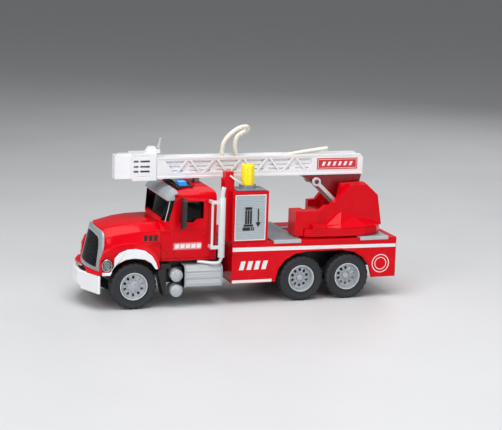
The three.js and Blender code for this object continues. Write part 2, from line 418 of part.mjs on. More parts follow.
for (const [n, s] of [['left', -1], ['right', 1]]) {
  const far = s > 0 ? 10 : 0;
  const skirt = loft([
    [[80 + far, s * 28, 70.8], [86 + far, s * 36, 70.8], [100 + far / 5, s * (41 - far / 12), 70.8], [126, s * 40.4, 70.8], [141, s * 34.6, 70.8], [146.6, s * 28, 70.8]],
    [[85.8 + far * 0.8, s * 28, 73.2], [88.5 + far * 0.8, s * 33, 73.4], [101, s * 37.4, 74], [127, s * 37, 73.4], [138, s * 33, 73], [145, s * 28, 73]],
    [[98, s * 28, 82], [101, s * 29.2, 84], [104.6, s * 29.4, 85], [118, s * 29.4, 80], [130, s * 29.2, 77], [140, s * 28, 76]],
  ], 0, 1);
  let shell = cat(prismY(s < 0 ? cheekNear : cheekFar, s * 21.6, s * 28.6), prismY(cheekInner, s * 15, s * 22), cylinder('y', 5.4, s * 9.1, s * 15.2, [BOOM_X, BOOM_Z], 20), skirt, s < 0 ? box(70, 83, -41.4, -30, 70.8, 75) : box(92, 96, 26, 30, 70.8, 74));
  if (s < 0) shell = cat(shell, box(54, 62.6, -35, -14.2, 63, 87.8), box(62.2, 66, -35, -14.2, 70.8, 87.8), box(65, 78, -35, -22, 70.8, 87.8));
  shell = cut(shell, cylinder('y', 3.3, s * 8, s * 26, [BOOM_X, BOOM_Z], 20));
  piece('turret_shell_' + n, shell, RED, 0.2, 0, turret);
}
piece('boom_pin', cylinder('y', 3, -25.7, 25.7, [BOOM_X, BOOM_Z], 20), STEEL, 0.3, 0.9, turret);

// ---- boom and telescopic ladder -----------------------------------------------------------
const boom = new THREE.Group();
turret.add(boom);
const armPts = [[70.6, LAD_Z0 - GAP], [70.6, 117.6], [105.6, 96.6], [113, 93.8], [120, 93.4]];
for (let i = 0; i <= 8; i++) { const a = (-110 + i * 20) * Math.PI / 180; armPts.push([BOOM_X + 10 * Math.cos(a), BOOM_Z + 10 * Math.sin(a)]); }
armPts.push([133, LAD_Z0 - GAP]);
piece('boom_arm', cut(cat(prismY(armPts, -8.7, 8.7), both((s) => cylinder('y', 2, s * 8.4, s * 13.6, [RING_X, RING_Z], 16))),
  cylinder('y', 3.3, -30, 30, [BOOM_X, BOOM_Z], 20), box(79, 110, -6.6, 6.6, 90, 116.4)), DARKRED, 0.25, 0, boom);
// V trusses: bottom joints every 27.4 mm
function trussHoles(x0, x1, zb, zt, first, halfW, w = 3) {
  const out = [], p = 27.4 / 2;
  for (let k = 0, x = first; x < x1; k++, x += p) {
    const up = k % 2 === 0, a = up ? zb : zt, b = up ? zt : zb;
    const t0 = [x - p + w * 1.25, a], t1 = [x + p - w * 1.25, a], t2 = [x + w * 0.3, b], t3 = [x - w * 0.3, b];
    if (x - p < x0 || x + p > x1) continue;
    out.push(prismY([t0, t1, t2, t3], -halfW, halfW));
  }
  return out;
}
function channel(x0, x1, half, z0, z1, wall, floor) {
  return cut(box(x0, x1, -half, half, z0, z1), box(x0 - 1, x1 + 1, -half + wall, half - wall, z0 + floor, z1 + 5));
}
function rungs(x0, x1, half, z0, z1, pitch = 13.7, bar = 3.4) {
  const out = [];
  for (let x = x0; x + pitch - bar <= x1; x += pitch) out.push(box(x, x + pitch - bar, -half, half, z0, z1));
  return out;
}
const SLOT_X = -80;
let base = channel(LAD_X0, LAD_X1, LAD_HALF, LAD_Z0, LAD_Z1, 1.4, 1.7);
base = base.add(box(LAD_X1 - 2, LAD_X1, -LAD_HALF, LAD_HALF, LAD_Z0, LAD_Z1));
base = cut(base, trussHoles(-77, 90, 125.2, 136.9, -76.5, 20).map((h) => h.intersect(box(-90, 79, -20, 20, 110, 150))), rungs(SLOT_X, 66, 5.8, 118, 123),
  prismY([[130.4, 140.7], [134.4, 136.5], [134.4, 140.7]], -20, 20));
piece('ladder_base', base, WHITE, 0.35, 0, boom);
const midSection = new THREE.Group();
boom.add(midSection);
// rows of long slots in the side walls, one bay to each joint pitch
const slots = (x0, x1, z, h, halfW) => {
  const out = [];
  for (let x = x0; x + 21 < x1; x += 27.4) out.push(box(x, x + 21, -halfW, halfW, z, z + h));
  return out;
};
let mid = channel(LAD_X0, 79, 7.3, 122, 138.6, 1.2, 1.4);
mid = cut(mid, [134.6, 130.2, 126.2].flatMap((z) => slots(-75, 82, z, 1.3, 20)), rungs(SLOT_X, 56, 4.6, 120, 126));
piece('ladder_middle', mid, WHITE, 0.35, 0, midSection);
const tipSection = new THREE.Group();
midSection.add(tipSection);
let tip = channel(-82.4, 60, 5.8, 123.8, 137, 1.1, 1.3);
tip = cut(tip, rungs(SLOT_X, 44, 3.4, 122, 128));
// square head: a slotted box with a narrower plain front, a hump and two ears for the nozzle
let head = cat(box(-105.2, -81.6, -9.8, 9.8, 118.2, 144.6), box(-121.8, -105, -5.3, 5.3, 119.7, 142.8), box(-117, -105, -4.6, 4.6, 142.4, 143.8),
  prismY([[-91, 144.4], [-87.4, 150.3], [-81.4, 150.3], [-80.6, 149.2], [-80.6, 143.8], [-82, 143.8]], -3.2, 3.2),
  both((s) => box(-82, -76.6, s * 2.6, s * 3.6, 143.8, 147.4)));
head = cut(head, box(-103.6, -83.2, -8.4, 8.4, 120, 143), box(-120.4, -103, -4, 4, 121.2, 141.4), box(-84, -81, -4.7, 4.7, 125.1, 137),
  [136, 130.8, 126.2].map((z) => [box(-104.2, -99.3, -20, 20, z, z + 2), box(-97.6, -88.2, -20, 20, z, z + 2)]).flat());
piece('ladder_tip', cat(tip, head), WHITE, 0.3, 0, tipSection);
piece('water_nozzle', cat(cylinder('y', 2.2, -2.5, 2.5, [-77.9, 145.9], 16), tube([[-77.9, 0, 144.4], [-77, 0, 149.8]], 1.9, 12, 1, false), tube([[-77.1, 0, 149.6], [-75.2, 0, 158]], 1.35, 12, 1, false)), GREY, 0.4, 0, tipSection);

// ---- ram yoke: two rods with rings, joined by a cross pin between the shells -------------------
const RAM_END = [121, 77];
const ramDir = [(RAM_END[0] - RING_X), (RAM_END[1] - RING_Z)];
const rl = Math.hypot(...ramDir), ux = ramDir[0] / rl, uz = ramDir[1] / rl;
const rod = (s) => {
  const yc = s * 11.7, n = [-uz * 1.75, ux * 1.75];
  const a = [RING_X + ux * 3.6, RING_Z + uz * 3.6], b = RAM_END;
  return cat(cut(cylinder('y', 4.3, s * 10.2, s * 13.2, [RING_X, RING_Z], 20), cylinder('y', 2.35, s * 9, s * 15, [RING_X, RING_Z], 20)),
    prismY([[a[0] + n[0], a[1] + n[1]], [b[0] + n[0], b[1] + n[1]], [b[0] - n[0], b[1] - n[1]], [a[0] - n[0], a[1] - n[1]]], s * 10.2, s * 13.2));
};
piece('ram_yoke', cat(rod(-1), rod(1), cylinder('y', 1.75, -13.2, 13.2, RAM_END, 16)), 0xb5b3b3, 0.3, 0.5, boom);

// ---- water hose: one free tube, looped up out of the ladder bed --------------------------------
const HOSE = [
  [-62, 0.4, 128.8], [-50, 0.2, 128.2], [-38, -0.6, 128.2], [-28, -1.5, 128.9], [-19.0, -2.2, 131.8], [-13.9, -2.4, 137.8],
  [-13.4, -3.2, 145.6], [-12.6, -4.0, 152.2], [-9.0, -4.4, 158.4], [-3.4, -4.2, 163.4], [3.6, -3.6, 167.4], [10.6, -1.4, 168.2],
  [14.6, 2.6, 166.0], [13.6, 6.0, 162.8], [9.0, 7.0, 160.4], [4.8, 6.0, 157.4], [2.2, 4.4, 152.0], [1.8, 3.0, 145.4], [4.2, 2.4, 138.6],
  [9.8, 2.2, 133.6], [18.6, 1.8, 131.6], [29, 1.2, 132.4], [40, 0.6, 134.8], [52, 0, 137.8], [66, 0, 140.6], [82, 0, 142.8], [98.4, 0, 144.8]];
piece('water_hose', tube(HOSE, HOSE_D / 2, 8, 60), 0xf2efe4, 0.35, 0, boom);

export default toy;
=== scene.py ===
import bpy, bmesh, math, random
from mathutils import Matrix, Vector


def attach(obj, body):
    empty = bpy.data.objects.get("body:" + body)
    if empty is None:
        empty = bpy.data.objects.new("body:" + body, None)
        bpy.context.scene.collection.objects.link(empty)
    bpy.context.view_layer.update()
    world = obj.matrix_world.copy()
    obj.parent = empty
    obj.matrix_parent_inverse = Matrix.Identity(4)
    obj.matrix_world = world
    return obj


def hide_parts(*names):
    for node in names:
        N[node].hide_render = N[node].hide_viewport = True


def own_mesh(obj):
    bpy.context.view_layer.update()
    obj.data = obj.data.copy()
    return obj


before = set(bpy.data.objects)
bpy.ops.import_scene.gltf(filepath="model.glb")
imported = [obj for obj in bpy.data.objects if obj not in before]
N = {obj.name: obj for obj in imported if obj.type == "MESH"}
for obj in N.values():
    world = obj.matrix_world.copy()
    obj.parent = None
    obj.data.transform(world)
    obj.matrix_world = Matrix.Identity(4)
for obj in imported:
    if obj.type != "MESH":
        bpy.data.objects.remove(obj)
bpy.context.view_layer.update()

MM = 0.001
scene = bpy.context.scene
scene.view_settings.view_transform = "Standard"
random.seed(7)

# ---- camera -----------------------------------------------------------------
# a long lens, a little above the truck and off its left front corner
az, el, roll = map(math.radians, (-19.01, 11.04, 1.79))
back = Vector((math.sin(az) * math.cos(el), -math.cos(az) * math.cos(el), math.sin(el)))
right = Vector((math.cos(az), math.sin(az), 0))
up = back.cross(right)
R2 = right * math.cos(roll) + up * math.sin(roll)
U2 = up * math.cos(roll) - right * math.sin(roll)
loc = Vector((-22.6, 0, 124.39)) + back * 1455.5 + Vector((21.5, -60, -33))
cam_data = bpy.data.cameras.new("camera")
cam_data.sensor_width = 36
cam_data.lens = 1524.09 / 502 * 36
cam_data.clip_start, cam_data.clip_end = 0.05, 30
cam = bpy.data.objects.new("camera", cam_data)
scene.collection.objects.link(cam)
cam.matrix_world = Matrix(((R2.x, U2.x, back.x, loc.x * MM), (R2.y, U2.y, back.y, loc.y * MM),
                           (R2.z, U2.z, back.z, loc.z * MM), (0, 0, 0, 1)))
scene.camera = cam


# ---- materials ----------------------------------------------------------------
def srgb(h):
    c = [int(h[i:i + 2], 16) / 255 for i in (0, 2, 4)]
    return tuple((v / 12.92 if v <= 0.04045 else ((v + 0.055) / 1.055) ** 2.4) for v in c)


def material(name, hexa, rough=0.25, rvar=0.06, mottle=0.05, mscale=60, grain=0.012, gscale=900, coat=0.0,
             coat_rough=0.05, metallic=0.0, trans=0.0, ior=1.49, scuff=0.10, spec=0.5, sss=0.0):
    """Moulded plastic, rubber or metal: slow colour drift, fine grain and faint scuffs, sizes in metres."""
    m = bpy.data.materials.new(name)
    m.use_nodes = True
    nt = m.node_tree
    L = nt.links.new
    b = nt.nodes["Principled BSDF"]
    rgb = srgb(hexa)
    tc = nt.nodes.new("ShaderNodeTexCoord")
    n1 = nt.nodes.new("ShaderNodeTexNoise")
    n1.inputs["Scale"].default_value = mscale
    n1.inputs["Detail"].default_value = 3
    L(tc.outputs["Object"], n1.inputs["Vector"])
    ramp = nt.nodes.new("ShaderNodeMapRange")
    ramp.inputs["From Min"].default_value, ramp.inputs["From Max"].default_value = 0.3, 0.7
    L(n1.outputs["Fac"], ramp.inputs["Value"])
    mix = nt.nodes.new("ShaderNodeMix")
    mix.data_type = "RGBA"
    mix.inputs["A"].default_value = (*[v * (1 - mottle) for v in rgb], 1)
    mix.inputs["B"].default_value = (*[min(1, v * (1 + mottle) + 0.002) for v in rgb], 1)
    L(ramp.outputs["Result"], mix.inputs["Factor"])
    L(mix.outputs["Result"], b.inputs["Base Color"])
    # faint handling scuffs: stretched noise, thresholded, that roughens the gloss
    mp = nt.nodes.new("ShaderNodeMapping")
    mp.inputs["Scale"].default_value = (240, 900, 620)
    mp.inputs["Rotation"].default_value = (0.3, 0.5, 0.7)
    L(tc.outputs["Object"], mp.inputs["Vector"])
    n2 = nt.nodes.new("ShaderNodeTexNoise")
    n2.inputs["Scale"].default_value = 1.0
    n2.inputs["Detail"].default_value = 4
    L(mp.outputs["Vector"], n2.inputs["Vector"])
    sr = nt.nodes.new("ShaderNodeMapRange")
    sr.inputs["From Min"].default_value, sr.inputs["From Max"].default_value = 0.62, 0.74
    sr.inputs["To Min"].default_value, sr.inputs["To Max"].default_value = 0.0, scuff
    L(n2.outputs["Fac"], sr.inputs["Value"])
    rr = nt.nodes.new("ShaderNodeMapRange")
    rr.inputs["From Min"].default_value, rr.inputs["From Max"].default_value = 0.25, 0.75
    rr.inputs["To Min"].default_value, rr.inputs["To Max"].default_value = max(0.02, rough - rvar), rough + rvar
    L(n1.outputs["Fac"], rr.inputs["Value"])
    add = nt.nodes.new("ShaderNodeMath")
    add.operation = "ADD"
    add.use_clamp = True
    L(rr.outputs["Result"], add.inputs[0])
    L(sr.outputs["Result"], add.inputs[1])
    L(add.outputs["Value"], b.inputs["Roughness"])
    n3 = nt.nodes.new("ShaderNodeTexNoise")
    n3.inputs["Scale"].default_value = gscale
    n3.inputs["Detail"].default_value = 2
    L(tc.outputs["Object"], n3.inputs["Vector"])
    bump = nt.nodes.new("ShaderNodeBump")
    bump.inputs["Strength"].default_value = 1.0
    bump.inputs["Distance"].default_value = grain * MM
    L(n3.outputs["Fac"], bump.inputs["Height"])
    L(bump.outputs["Normal"], b.inputs["Normal"])
    b.inputs["Metallic"].default_value = metallic
    b.inputs["IOR"].default_value = ior
    b.inputs["Specular IOR Level"].default_value = spec
    if coat:
        b.inputs["Coat Weight"].default_value = coat
        b.inputs["Coat Roughness"].default_value = coat_rough
    if trans:
        b.inputs["Transmission Weight"].default_value = trans
    if sss:
        b.inputs["Subsurface Weight"].default_value = sss
        b.inputs["Subsurface Scale"].default_value = 0.002
    return m


M = {
    "red": material("red_plastic", "dc0016", 0.19, 0.03, 0.04, 45, 0.004, 500, coat=0.05, coat_rough=0.04, spec=0.13),
    "darkred": material("dark_red_plastic", "80000e", 0.26, 0.05, 0.05, 50, 0.006, 700, coat=0.2),
    "white": material("white_plastic", "f4f6f9", 0.24, 0.04, 0.02, 40, 0.004, 600, coat=0.25),
    "ladder": material("ladder_plastic", "f3f4f6", 0.34, 0.05, 0.02, 60, 0.005, 900),
    "black": material("black_plastic", "121316", 0.42, 0.07, 0.12, 60, 0.018, 1100),
    "module": material("module_plastic", "24272c", 0.5, 0.06, 0.1, 60, 0.02, 1200),
    "glossblack": material("gloss_black_plastic", "0d0e10", 0.22, 0.05, 0.1, 60, 0.01, 1100),
    "deepblack": material("deep_black_plastic", "060607", 0.6, 0.06, 0.1, 60, 0.012, 1100),
    "labelpink": material("label_film", "f0838a", 0.4, 0.04, 0.06, 60, 0.004, 900),
    "mirrorblack": material("mirror_black", "24262a", 0.3, 0.06, 0.07, 60, 0.012, 1100),
    "glass": material("window_plastic", "020203", 0.1, 0.02, 0.08, 40, 0.002, 300, coat=0.04, coat_rough=0.02, spec=0.14),
    "silver": material("silver_plastic", "a9b1b6", 0.3, 0.03, 0.02, 40, 0.001, 500, metallic=0.25, coat=0.15),
    "stack": material("stack_plastic", "e2e5e7", 0.32, 0.04, 0.03, 60, 0.003, 900, metallic=0.1),
    "grey": material("grey_plastic", "8d969d", 0.38, 0.06, 0.05, 70, 0.012, 1200, metallic=0.2),
    "shutter": material("shutter_plastic", "b4bec4", 0.34, 0.04, 0.03, 60, 0.004, 900),
    "nozzle": material("nozzle_plastic", "c2c6ca", 0.38, 0.05, 0.05, 70, 0.012, 1200),
    "darkgrey": material("dark_grey_plastic", "43464b", 0.36, 0.06, 0.07, 60, 0.012, 1100),
    "lens": material("clear_lens", "e4e8ea", 0.06, 0.02, 0.02, 60, 0.002, 400, trans=0.85, ior=1.5),
    "blue": material("blue_lens", "2f9cec", 0.12, 0.03, 0.05, 60, 0.003, 500, trans=0.15, coat=0.4),
    "yellow": material("yellow_plastic", "ffe512", 0.24, 0.03, 0.02, 40, 0.001, 300, coat=0.15),
    "tank": material("tank_plastic", "e6eaee", 0.3, 0.05, 0.03, 50, 0.006, 700),
    "steel": material("steel", "b4b8bc", 0.24, 0.06, 0.06, 120, 0.006, 2200, metallic=1.0),
    "hose": material("hose_vinyl", "efeadb", 0.3, 0.04, 0.03, 70, 0.010, 900, coat=0.1),
    "tyre": material("tyre_rubber", "2a2d31", 0.62, 0.08, 0.12, 70, 0.035, 1500, spec=0.4),
    "rim": material("rim_plastic", "b0b6bb", 0.3, 0.04, 0.04, 80, 0.004, 900, metallic=0.3),
    "tankgrey": material("step_plastic", "b9bfc4", 0.32, 0.05, 0.04, 70, 0.004, 900, metallic=0.15),
    "ram": material("ram_plastic", "d2d5d8", 0.32, 0.05, 0.04, 70, 0.004, 900, metallic=0.1),
    "collar": material("collar_plastic", "7f8390", 0.36, 0.05, 0.05, 70, 0.010, 1100),
    "print": material("print_black", "101114", 0.4, 0.05, 0.08, 90, 0.004, 900),
    "sticker": material("sticker_red", "d0182a", 0.3, 0.04, 0.03, 60, 0.003, 700, coat=0.3),
    "stickerwhite": material("sticker_white", "f2f2f2", 0.3, 0.04, 0.02, 60, 0.003, 700, coat=0.3),
}


# ---- mesh helpers, all in millimetres ---------------------------------------------
def obj_from(name, verts, faces, mat, body, replaces=(), bevel=0.0, seg=2, angle=35, subsurf=0, smooth=True,
             weld=False, sharp=None):
    me = bpy.data.meshes.new(name)
    me.from_pydata([(v[0] * MM, v[1] * MM, v[2] * MM) for v in verts], [], faces)
    me.validate()
    bm = bmesh.new()
    bm.from_mesh(me)
    if weld:
        bmesh.ops.remove_doubles(bm, verts=bm.verts, dist=1e-6)
    bmesh.ops.recalc_face_normals(bm, faces=bm.faces)
    bm.to_mesh(me)
    bm.free()
    o = bpy.data.objects.new(name, me)
    scene.collection.objects.link(o)
    me.materials.append(mat)
    dress(o, bevel, seg, angle, subsurf, smooth, sharp)
    if replaces:
        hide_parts(*replaces)
    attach(o, body)
    return o


def dress(o, bevel=0.0, seg=2, angle=35, subsurf=0, smooth=True, sharp=None):
    if smooth:
        o.data.polygons.foreach_set("use_smooth", [True] * len(o.data.polygons))
    if bevel:
        bv = o.modifiers.new("bevel", "BEVEL")
        bv.width, bv.segments, bv.limit_method = bevel * MM, seg, "ANGLE"
        bv.angle_limit = math.radians(angle)
        bv.harden_normals = False
        bv.miter_outer = "MITER_ARC"
        bv.use_clamp_overlap = True
    if subsurf:
        ss = o.modifiers.new("subsurf", "SUBSURF")
        ss.levels = ss.render_levels = subsurf
    if smooth and not subsurf:
        if bevel:
            w = o.modifiers.new("weighted", "WEIGHTED_NORMAL")
            w.keep_sharp = True
        else:
            sh = sharp if sharp is not None else 35
            bm = bmesh.new()
            bm.from_mesh(o.data)
            for e in bm.edges:
                if len(e.link_faces) == 2:
                    e.smooth = e.calc_face_angle(0) < math.radians(sh)
            bm.to_mesh(o.data)
            bm.free()


FLAT = {"turret_shell_left", "turret_shell_right", "turret_base", "rear_body", "pump_housing", "boom_arm", "front_bumper", "ladder_rest", "fender_trim_left",
        "fender_trim_right", "ram_yoke", "chassis_frame", "lightbar_base", "blue_lenses", "light_button"}


def keep(name, mat, bevel=0.5, seg=2, angle=30, planar=1.0):
    """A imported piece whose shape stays: welded, flat faces joined, edges rounded and a material given."""
    o = N[name]
    o.data.materials.clear()
    o.data.materials.append(mat)
    o.data.polygons.foreach_set("material_index", [0] * len(o.data.polygons))
    o.data.polygons.foreach_set("use_smooth", [name not in FLAT] * len(o.data.polygons))
    w = o.modifiers.new("weld", "WELD")
    w.merge_threshold = 2e-6
    if planar:
        d = o.modifiers.new("planar", "DECIMATE")
        d.decimate_type = "DISSOLVE"
        d.angle_limit = math.radians(planar)
    if bevel:
        bv = o.modifiers.new("bevel", "BEVEL")
        bv.width, bv.segments, bv.limit_method = bevel * MM, seg, "ANGLE"
        bv.angle_limit = math.radians(angle)
        bv.use_clamp_overlap = True
        bv.miter_outer = "MITER_ARC"
        bv.harden_normals = name not in FLAT
    else:
        es = o.modifiers.new("edges", "EDGE_SPLIT")
        es.split_angle = math.radians(angle)
    return o


def prism(axis, outline, a0, a1):
    """outline in the two other axes (Y,Z / X,Z / X,Y), a0 to a1 along the axis"""
    n = len(outline)
    put = {"x": lambda p, a: (a, p[0], p[1]), "y": lambda p, a: (p[0], a, p[1]), "z": lambda p, a: (p[0], p[1], a)}[axis]
    v = [put(p, a0) for p in outline] + [put(p, a1) for p in outline]
    f = [list(range(n))[::-1], list(range(n, 2 * n))] + [[i, (i + 1) % n, n + (i + 1) % n, n + i] for i in range(n)]
    return v, f


def block(x0, x1, y0, y1, z0, z1):
    return prism("z", [(x0, y0), (x1, y0), (x1, y1), (x0, y1)], z0, z1)


def lathe(profile, axis, centre, seg, close=False, mod=None):
    """(radius, height along axis) spun; radius 0 ends are closed to a point"""
    v, f, rows = [], [], []
    for k, (r, h) in enumerate(profile):
        row = []
        if r < 1e-6:
            row = [len(v)] * seg
            v.append((0, 0, h))
        else:
            for i in range(seg):
                a = 2 * math.pi * (i + 0.5) / seg
                rr = r if mod is None else mod(k, i, r)
                row.append(len(v))
                v.append((rr * math.cos(a), rr * math.sin(a), h))
        rows.append(row)
    if close:
        rows.append(rows[0])
    for a, b in zip(rows, rows[1:]):
        for i in range(seg):
            j = (i + 1) % seg
            q = []
            for t in (a[i], a[j], b[j], b[i]):
                if t not in q:
                    q.append(t)
            if len(q) > 2:
                f.append(q)
    c = centre
    put = {"x": lambda p: (p[2], c[0] + p[0], c[1] + p[1]), "y": lambda p: (c[0] + p[0], p[2], c[1] + p[1]),
           "z": lambda p: (c[0] + p[0], c[1] + p[1], p[2])}[axis]
    return [put(p) for p in v], f


def merge(*parts):
    v, f = [], []
    for pv, pf in parts:
        o = len(v)
        v += pv
        f += [[i + o for i in q] for q in pf]
    return v, f


def sweep(points, radius, seg=10, closed=False, squash=None):
    """round bar along a polyline, with closed ends"""
    P = [Vector(p) for p in points]
    v, f = [], []
    n = len(P)
    t0 = (P[1] - P[0]).normalized()
    ref = Vector((0, 0, 1)) if abs(t0.z) < 0.9 else Vector((1, 0, 0))
    u = t0.cross(ref).normalized()
    for i, p in enumerate(P):
        t = (P[min(i + 1, n - 1)] - P[max(i - 1, 0)]).normalized()
        u = (u - t * u.dot(t)).normalized()
        w = t.cross(u)
        for k in range(seg):
            a = 2 * math.pi * k / seg
            r = radius[i] if isinstance(radius, (list, tuple)) else radius
            q = p + u * (r * math.cos(a)) + w * (r * math.sin(a))
            v.append(tuple(q))
    for i in range(n - 1):
        for k in range(seg):
            l = (k + 1) % seg
            f.append([i * seg + k, i * seg + l, (i + 1) * seg + l, (i + 1) * seg + k])
    f.append(list(range(seg))[::-1])
    f.append(list(range((n - 1) * seg, n * seg)))
    return v, f


def catmull(points, per=6):
    P = [Vector(p) for p in points]
    P = [P[0] * 2 - P[1]] + P + [P[-1] * 2 - P[-2]]
    out = []
    for i in range(1, len(P) - 2):
        p0, p1, p2, p3 = P[i - 1:i + 3]
        for k in range(per):
            t = k / per
            out.append(0.5 * ((2 * p1) + (p2 - p0) * t + (2 * p0 - 5 * p1 + 4 * p2 - p3) * t * t + (3 * p1 - p0 - 3 * p2 + p3) * t ** 3))
    out.append(P[-2])
    return [tuple(p) for p in out]


def boolean(o, cutters, op="DIFFERENCE"):
    """cutters: list of (verts, faces) in mm, all joined in one cutter, applied at once"""
    v, f = merge(*cutters)
    me = bpy.data.meshes.new("cut")
    me.from_pydata([(a * MM, b * MM, c * MM) for a, b, c in v], [], f)
    bm = bmesh.new()
    bm.from_mesh(me)
    bmesh.ops.recalc_face_normals(bm, faces=bm.faces)
    bm.to_mesh(me)
    bm.free()
    c = bpy.data.objects.new("cut", me)
    scene.collection.objects.link(c)
    md = o.modifiers.new("bool", "BOOLEAN")
    md.object, md.operation, md.solver = c, op, "EXACT"
    dg = bpy.context.evaluated_depsgraph_get()
    new = bpy.data.meshes.new_from_object(o.evaluated_get(dg))
    o.modifiers.remove(md)
    old = o.data
    o.data = new
    bpy.data.meshes.remove(old)
    bpy.data.objects.remove(c)
    bpy.data.meshes.remove(me)


def raw_obj(name, geo, mat):
    me = bpy.data.meshes.new(name)
    me.from_pydata([(a * MM, b * MM, c * MM) for a, b, c in geo[0]], [], geo[1])
    bm = bmesh.new()
    bm.from_mesh(me)
    bmesh.ops.recalc_face_normals(bm, faces=bm.faces)
    bm.to_mesh(me)
    bm.free()
    o = bpy.data.objects.new(name, me)
    scene.collection.objects.link(o)
    me.materials.append(mat)
    return o


def settle(o, body, replaces=(), slot=None, **kw):
    dress(o, **kw)
    if replaces:
        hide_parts(*replaces)
    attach(o, body)
    return o


def table(t, x):
    for i in range(1, len(t)):
        if x <= t[i][0]:
            (x0, y0), (x1, y1) = t[i - 1], t[i]
            return y0 + (y1 - y0) * max(0, (x - x0) / (x1 - x0))
    return t[-1][1]


# ---- water hose: comes first with the camera ----------------------------------------
HOSE = [
    (-62, 0.4, 128.8), (-50, 0.2, 128.2), (-38, -0.6, 128.2), (-28, -1.5, 128.9), (-19.0, -2.2, 131.8), (-13.9, -2.4, 137.8), (-13.4, -3.2, 145.6),
    (-12.6, -4.0, 152.2), (-9.0, -4.4, 158.4), (-3.4, -4.2, 163.4), (3.6, -3.6, 167.4), (10.6, -1.4, 168.2), (14.6, 2.6, 166.0), (13.6, 6.0, 162.8),
    (9.0, 7.0, 160.4), (4.8, 6.0, 157.4), (2.2, 4.4, 152.0), (1.8, 3.0, 145.4), (4.2, 2.4, 138.6), (9.8, 2.2, 133.6), (18.6, 1.8, 131.6),
    (29, 1.2, 132.4), (40, 0.6, 134.8), (52, 0, 137.8), (66, 0, 140.6), (82, 0, 142.8), (98.4, 0, 144.8)]
hose_path = catmull(HOSE, 8)
hv, hf = sweep(hose_path, 2.2, 16)
hose = obj_from("hose", hv, hf, M["hose"], "boom", ["water_hose"], bevel=0.35, seg=2, angle=60)

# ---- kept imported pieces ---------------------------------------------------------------
KEEP = {
    "chassis_frame": ("black", 0.5), "front_bumper": ("white", 1.1), "grille_surround": ("silver", 0.55),
    "fender_trim_left": ("white", 0.55), "fender_trim_right": ("white", 0.55), "grille_mesh": ("black", 0.2),
    "headlight_left": ("lens", 0.8), "headlight_right": ("lens", 0.8),
    "hood": ("red", 0.8), "cab_shell": ("red", 1.1), "window_insert": ("glass", 0.3), "sound_module": ("module", 0.6),
    "sun_visor": ("silver", 0.7), "lightbar_base": ("black", 0.5), "blue_lenses": ("blue", 0.7), "ladder_rest": ("grey", 0.5),
    "mirror_left": ("mirrorblack", 1.1), "mirror_right": ("mirrorblack", 1.1), "exhaust_stack_left": ("stack", 0.35), "exhaust_stack_right": ("stack", 0.35),
    "side_tanks_left": ("grey", 0.8), "side_tanks_right": ("grey", 0.8), "rear_body": ("red", 0.8), "deck_plates": ("grey", 0.3),
    "water_tank": ("tank", 0.8), "battery_cover": ("black", 0.4), "pump_housing": ("red", 0.8), "shutter_panel": ("shutter", 0.2),
    "pump_collar": ("collar", 0.3), "pump_cylinder": ("tank", 0.3), "pump_spring": ("steel", 0), "pump_line": ("hose", 0),
    "light_button": ("yellow", 0.7), "pump_plunger": ("yellow", 1.0),
    "turret_base": ("red", 0.8), "turret_shell_left": ("red", 0.4), "turret_shell_right": ("red", 0.4), "boom_pin": ("steel", 0.4),
    "boom_arm": ("darkred", 0.8), "ladder_base": ("ladder", 0.35), "ladder_middle": ("ladder", 0.3), "ladder_tip": ("ladder", 0.3),
    "water_nozzle": ("nozzle", 0.4), "ram_yoke": ("ram", 0.3),
}
for w in ("front", "middle", "rear"):
    KEEP[w + "_axle"] = ("steel", 0.2)
    for s in ("left", "right"):
        KEEP[f"{w}_tyre_{s}"] = ("tyre", 0.4)
        KEEP[f"{w}_rim_{s}"] = ("rim", 0.3)

SIDES = (("left", -1), ("right", 1))


def carve(name, base, adds, cuts, mat, body, replaces=(), slot=None, **kw):
    """a solid with others joined to it, then groups of cutters taken away one group at a time"""
    o = raw_obj(name, base, mat)
    for a in adds:
        boolean(o, [a], "UNION")
    for c in cuts:
        boolean(o, c)
    bm = bmesh.new()
    bm.from_mesh(o.data)
    bmesh.ops.remove_doubles(bm, verts=bm.verts, dist=1e-6)
    bm.to_mesh(o.data)
    bm.free()
    if not kw.get("smooth", True):
        o.data.polygons.foreach_set("use_smooth", [False] * len(o.data.polygons))
    return settle(o, body, replaces, slot, **kw)


def solid(name, geo, mat, body, replaces=(), slot=None, **kw):
    return settle(raw_obj(name, geo, mat), body, replaces, slot, **kw)


def taken(*names):
    for n in names:
        KEEP.pop(n, None)


def side_plate(pts, y0, t, s=-1):
    """flat outline on the side of the truck, from |Y| = y0 outwards by t"""
    return prism("y", pts, s * y0, s * (y0 + t))


def rect(x0, x1, z0, z1, skew=0.0):
    return [(x0, z0), (x1, z0), (x1 + skew, z1), (x0 + skew, z1)]


# ---- ladder sections ----
def truss(first=-76.5, x0=-77, clip=79, zb=125.2, zt=136.9, w=3.0):
    out, p = [], 13.7
    for k in range(0, 13):
        x = first + k * p
        if x - p < x0 or x + p > 90:
            continue
        a, b = (zb, zt) if k % 2 == 0 else (zt, zb)
        pts = [(x - p + w * 1.25, a), (x + p - w * 1.25, a), (x + w * 0.3, b), (x - w * 0.3, b)]
        if pts[1][0] > clip:
            (xa, za), (xb, zb2) = pts[1], pts[2]
            zc = za + (xa - clip) / (xa - xb) * (zb2 - za)
            pts = [pts[0], (clip, a), (clip, zc), pts[2], pts[3]]
        out.append(prism("y", pts, -20, 20))
    return out


def rung_holes(x0, x1, half, z0, z1, pitch=13.7, bar=3.4):
    out, x = [], x0
    while x + pitch - bar <= x1:
        out.append(block(x, x + pitch - bar, -half, half, z0, z1))
        x += pitch
    return out


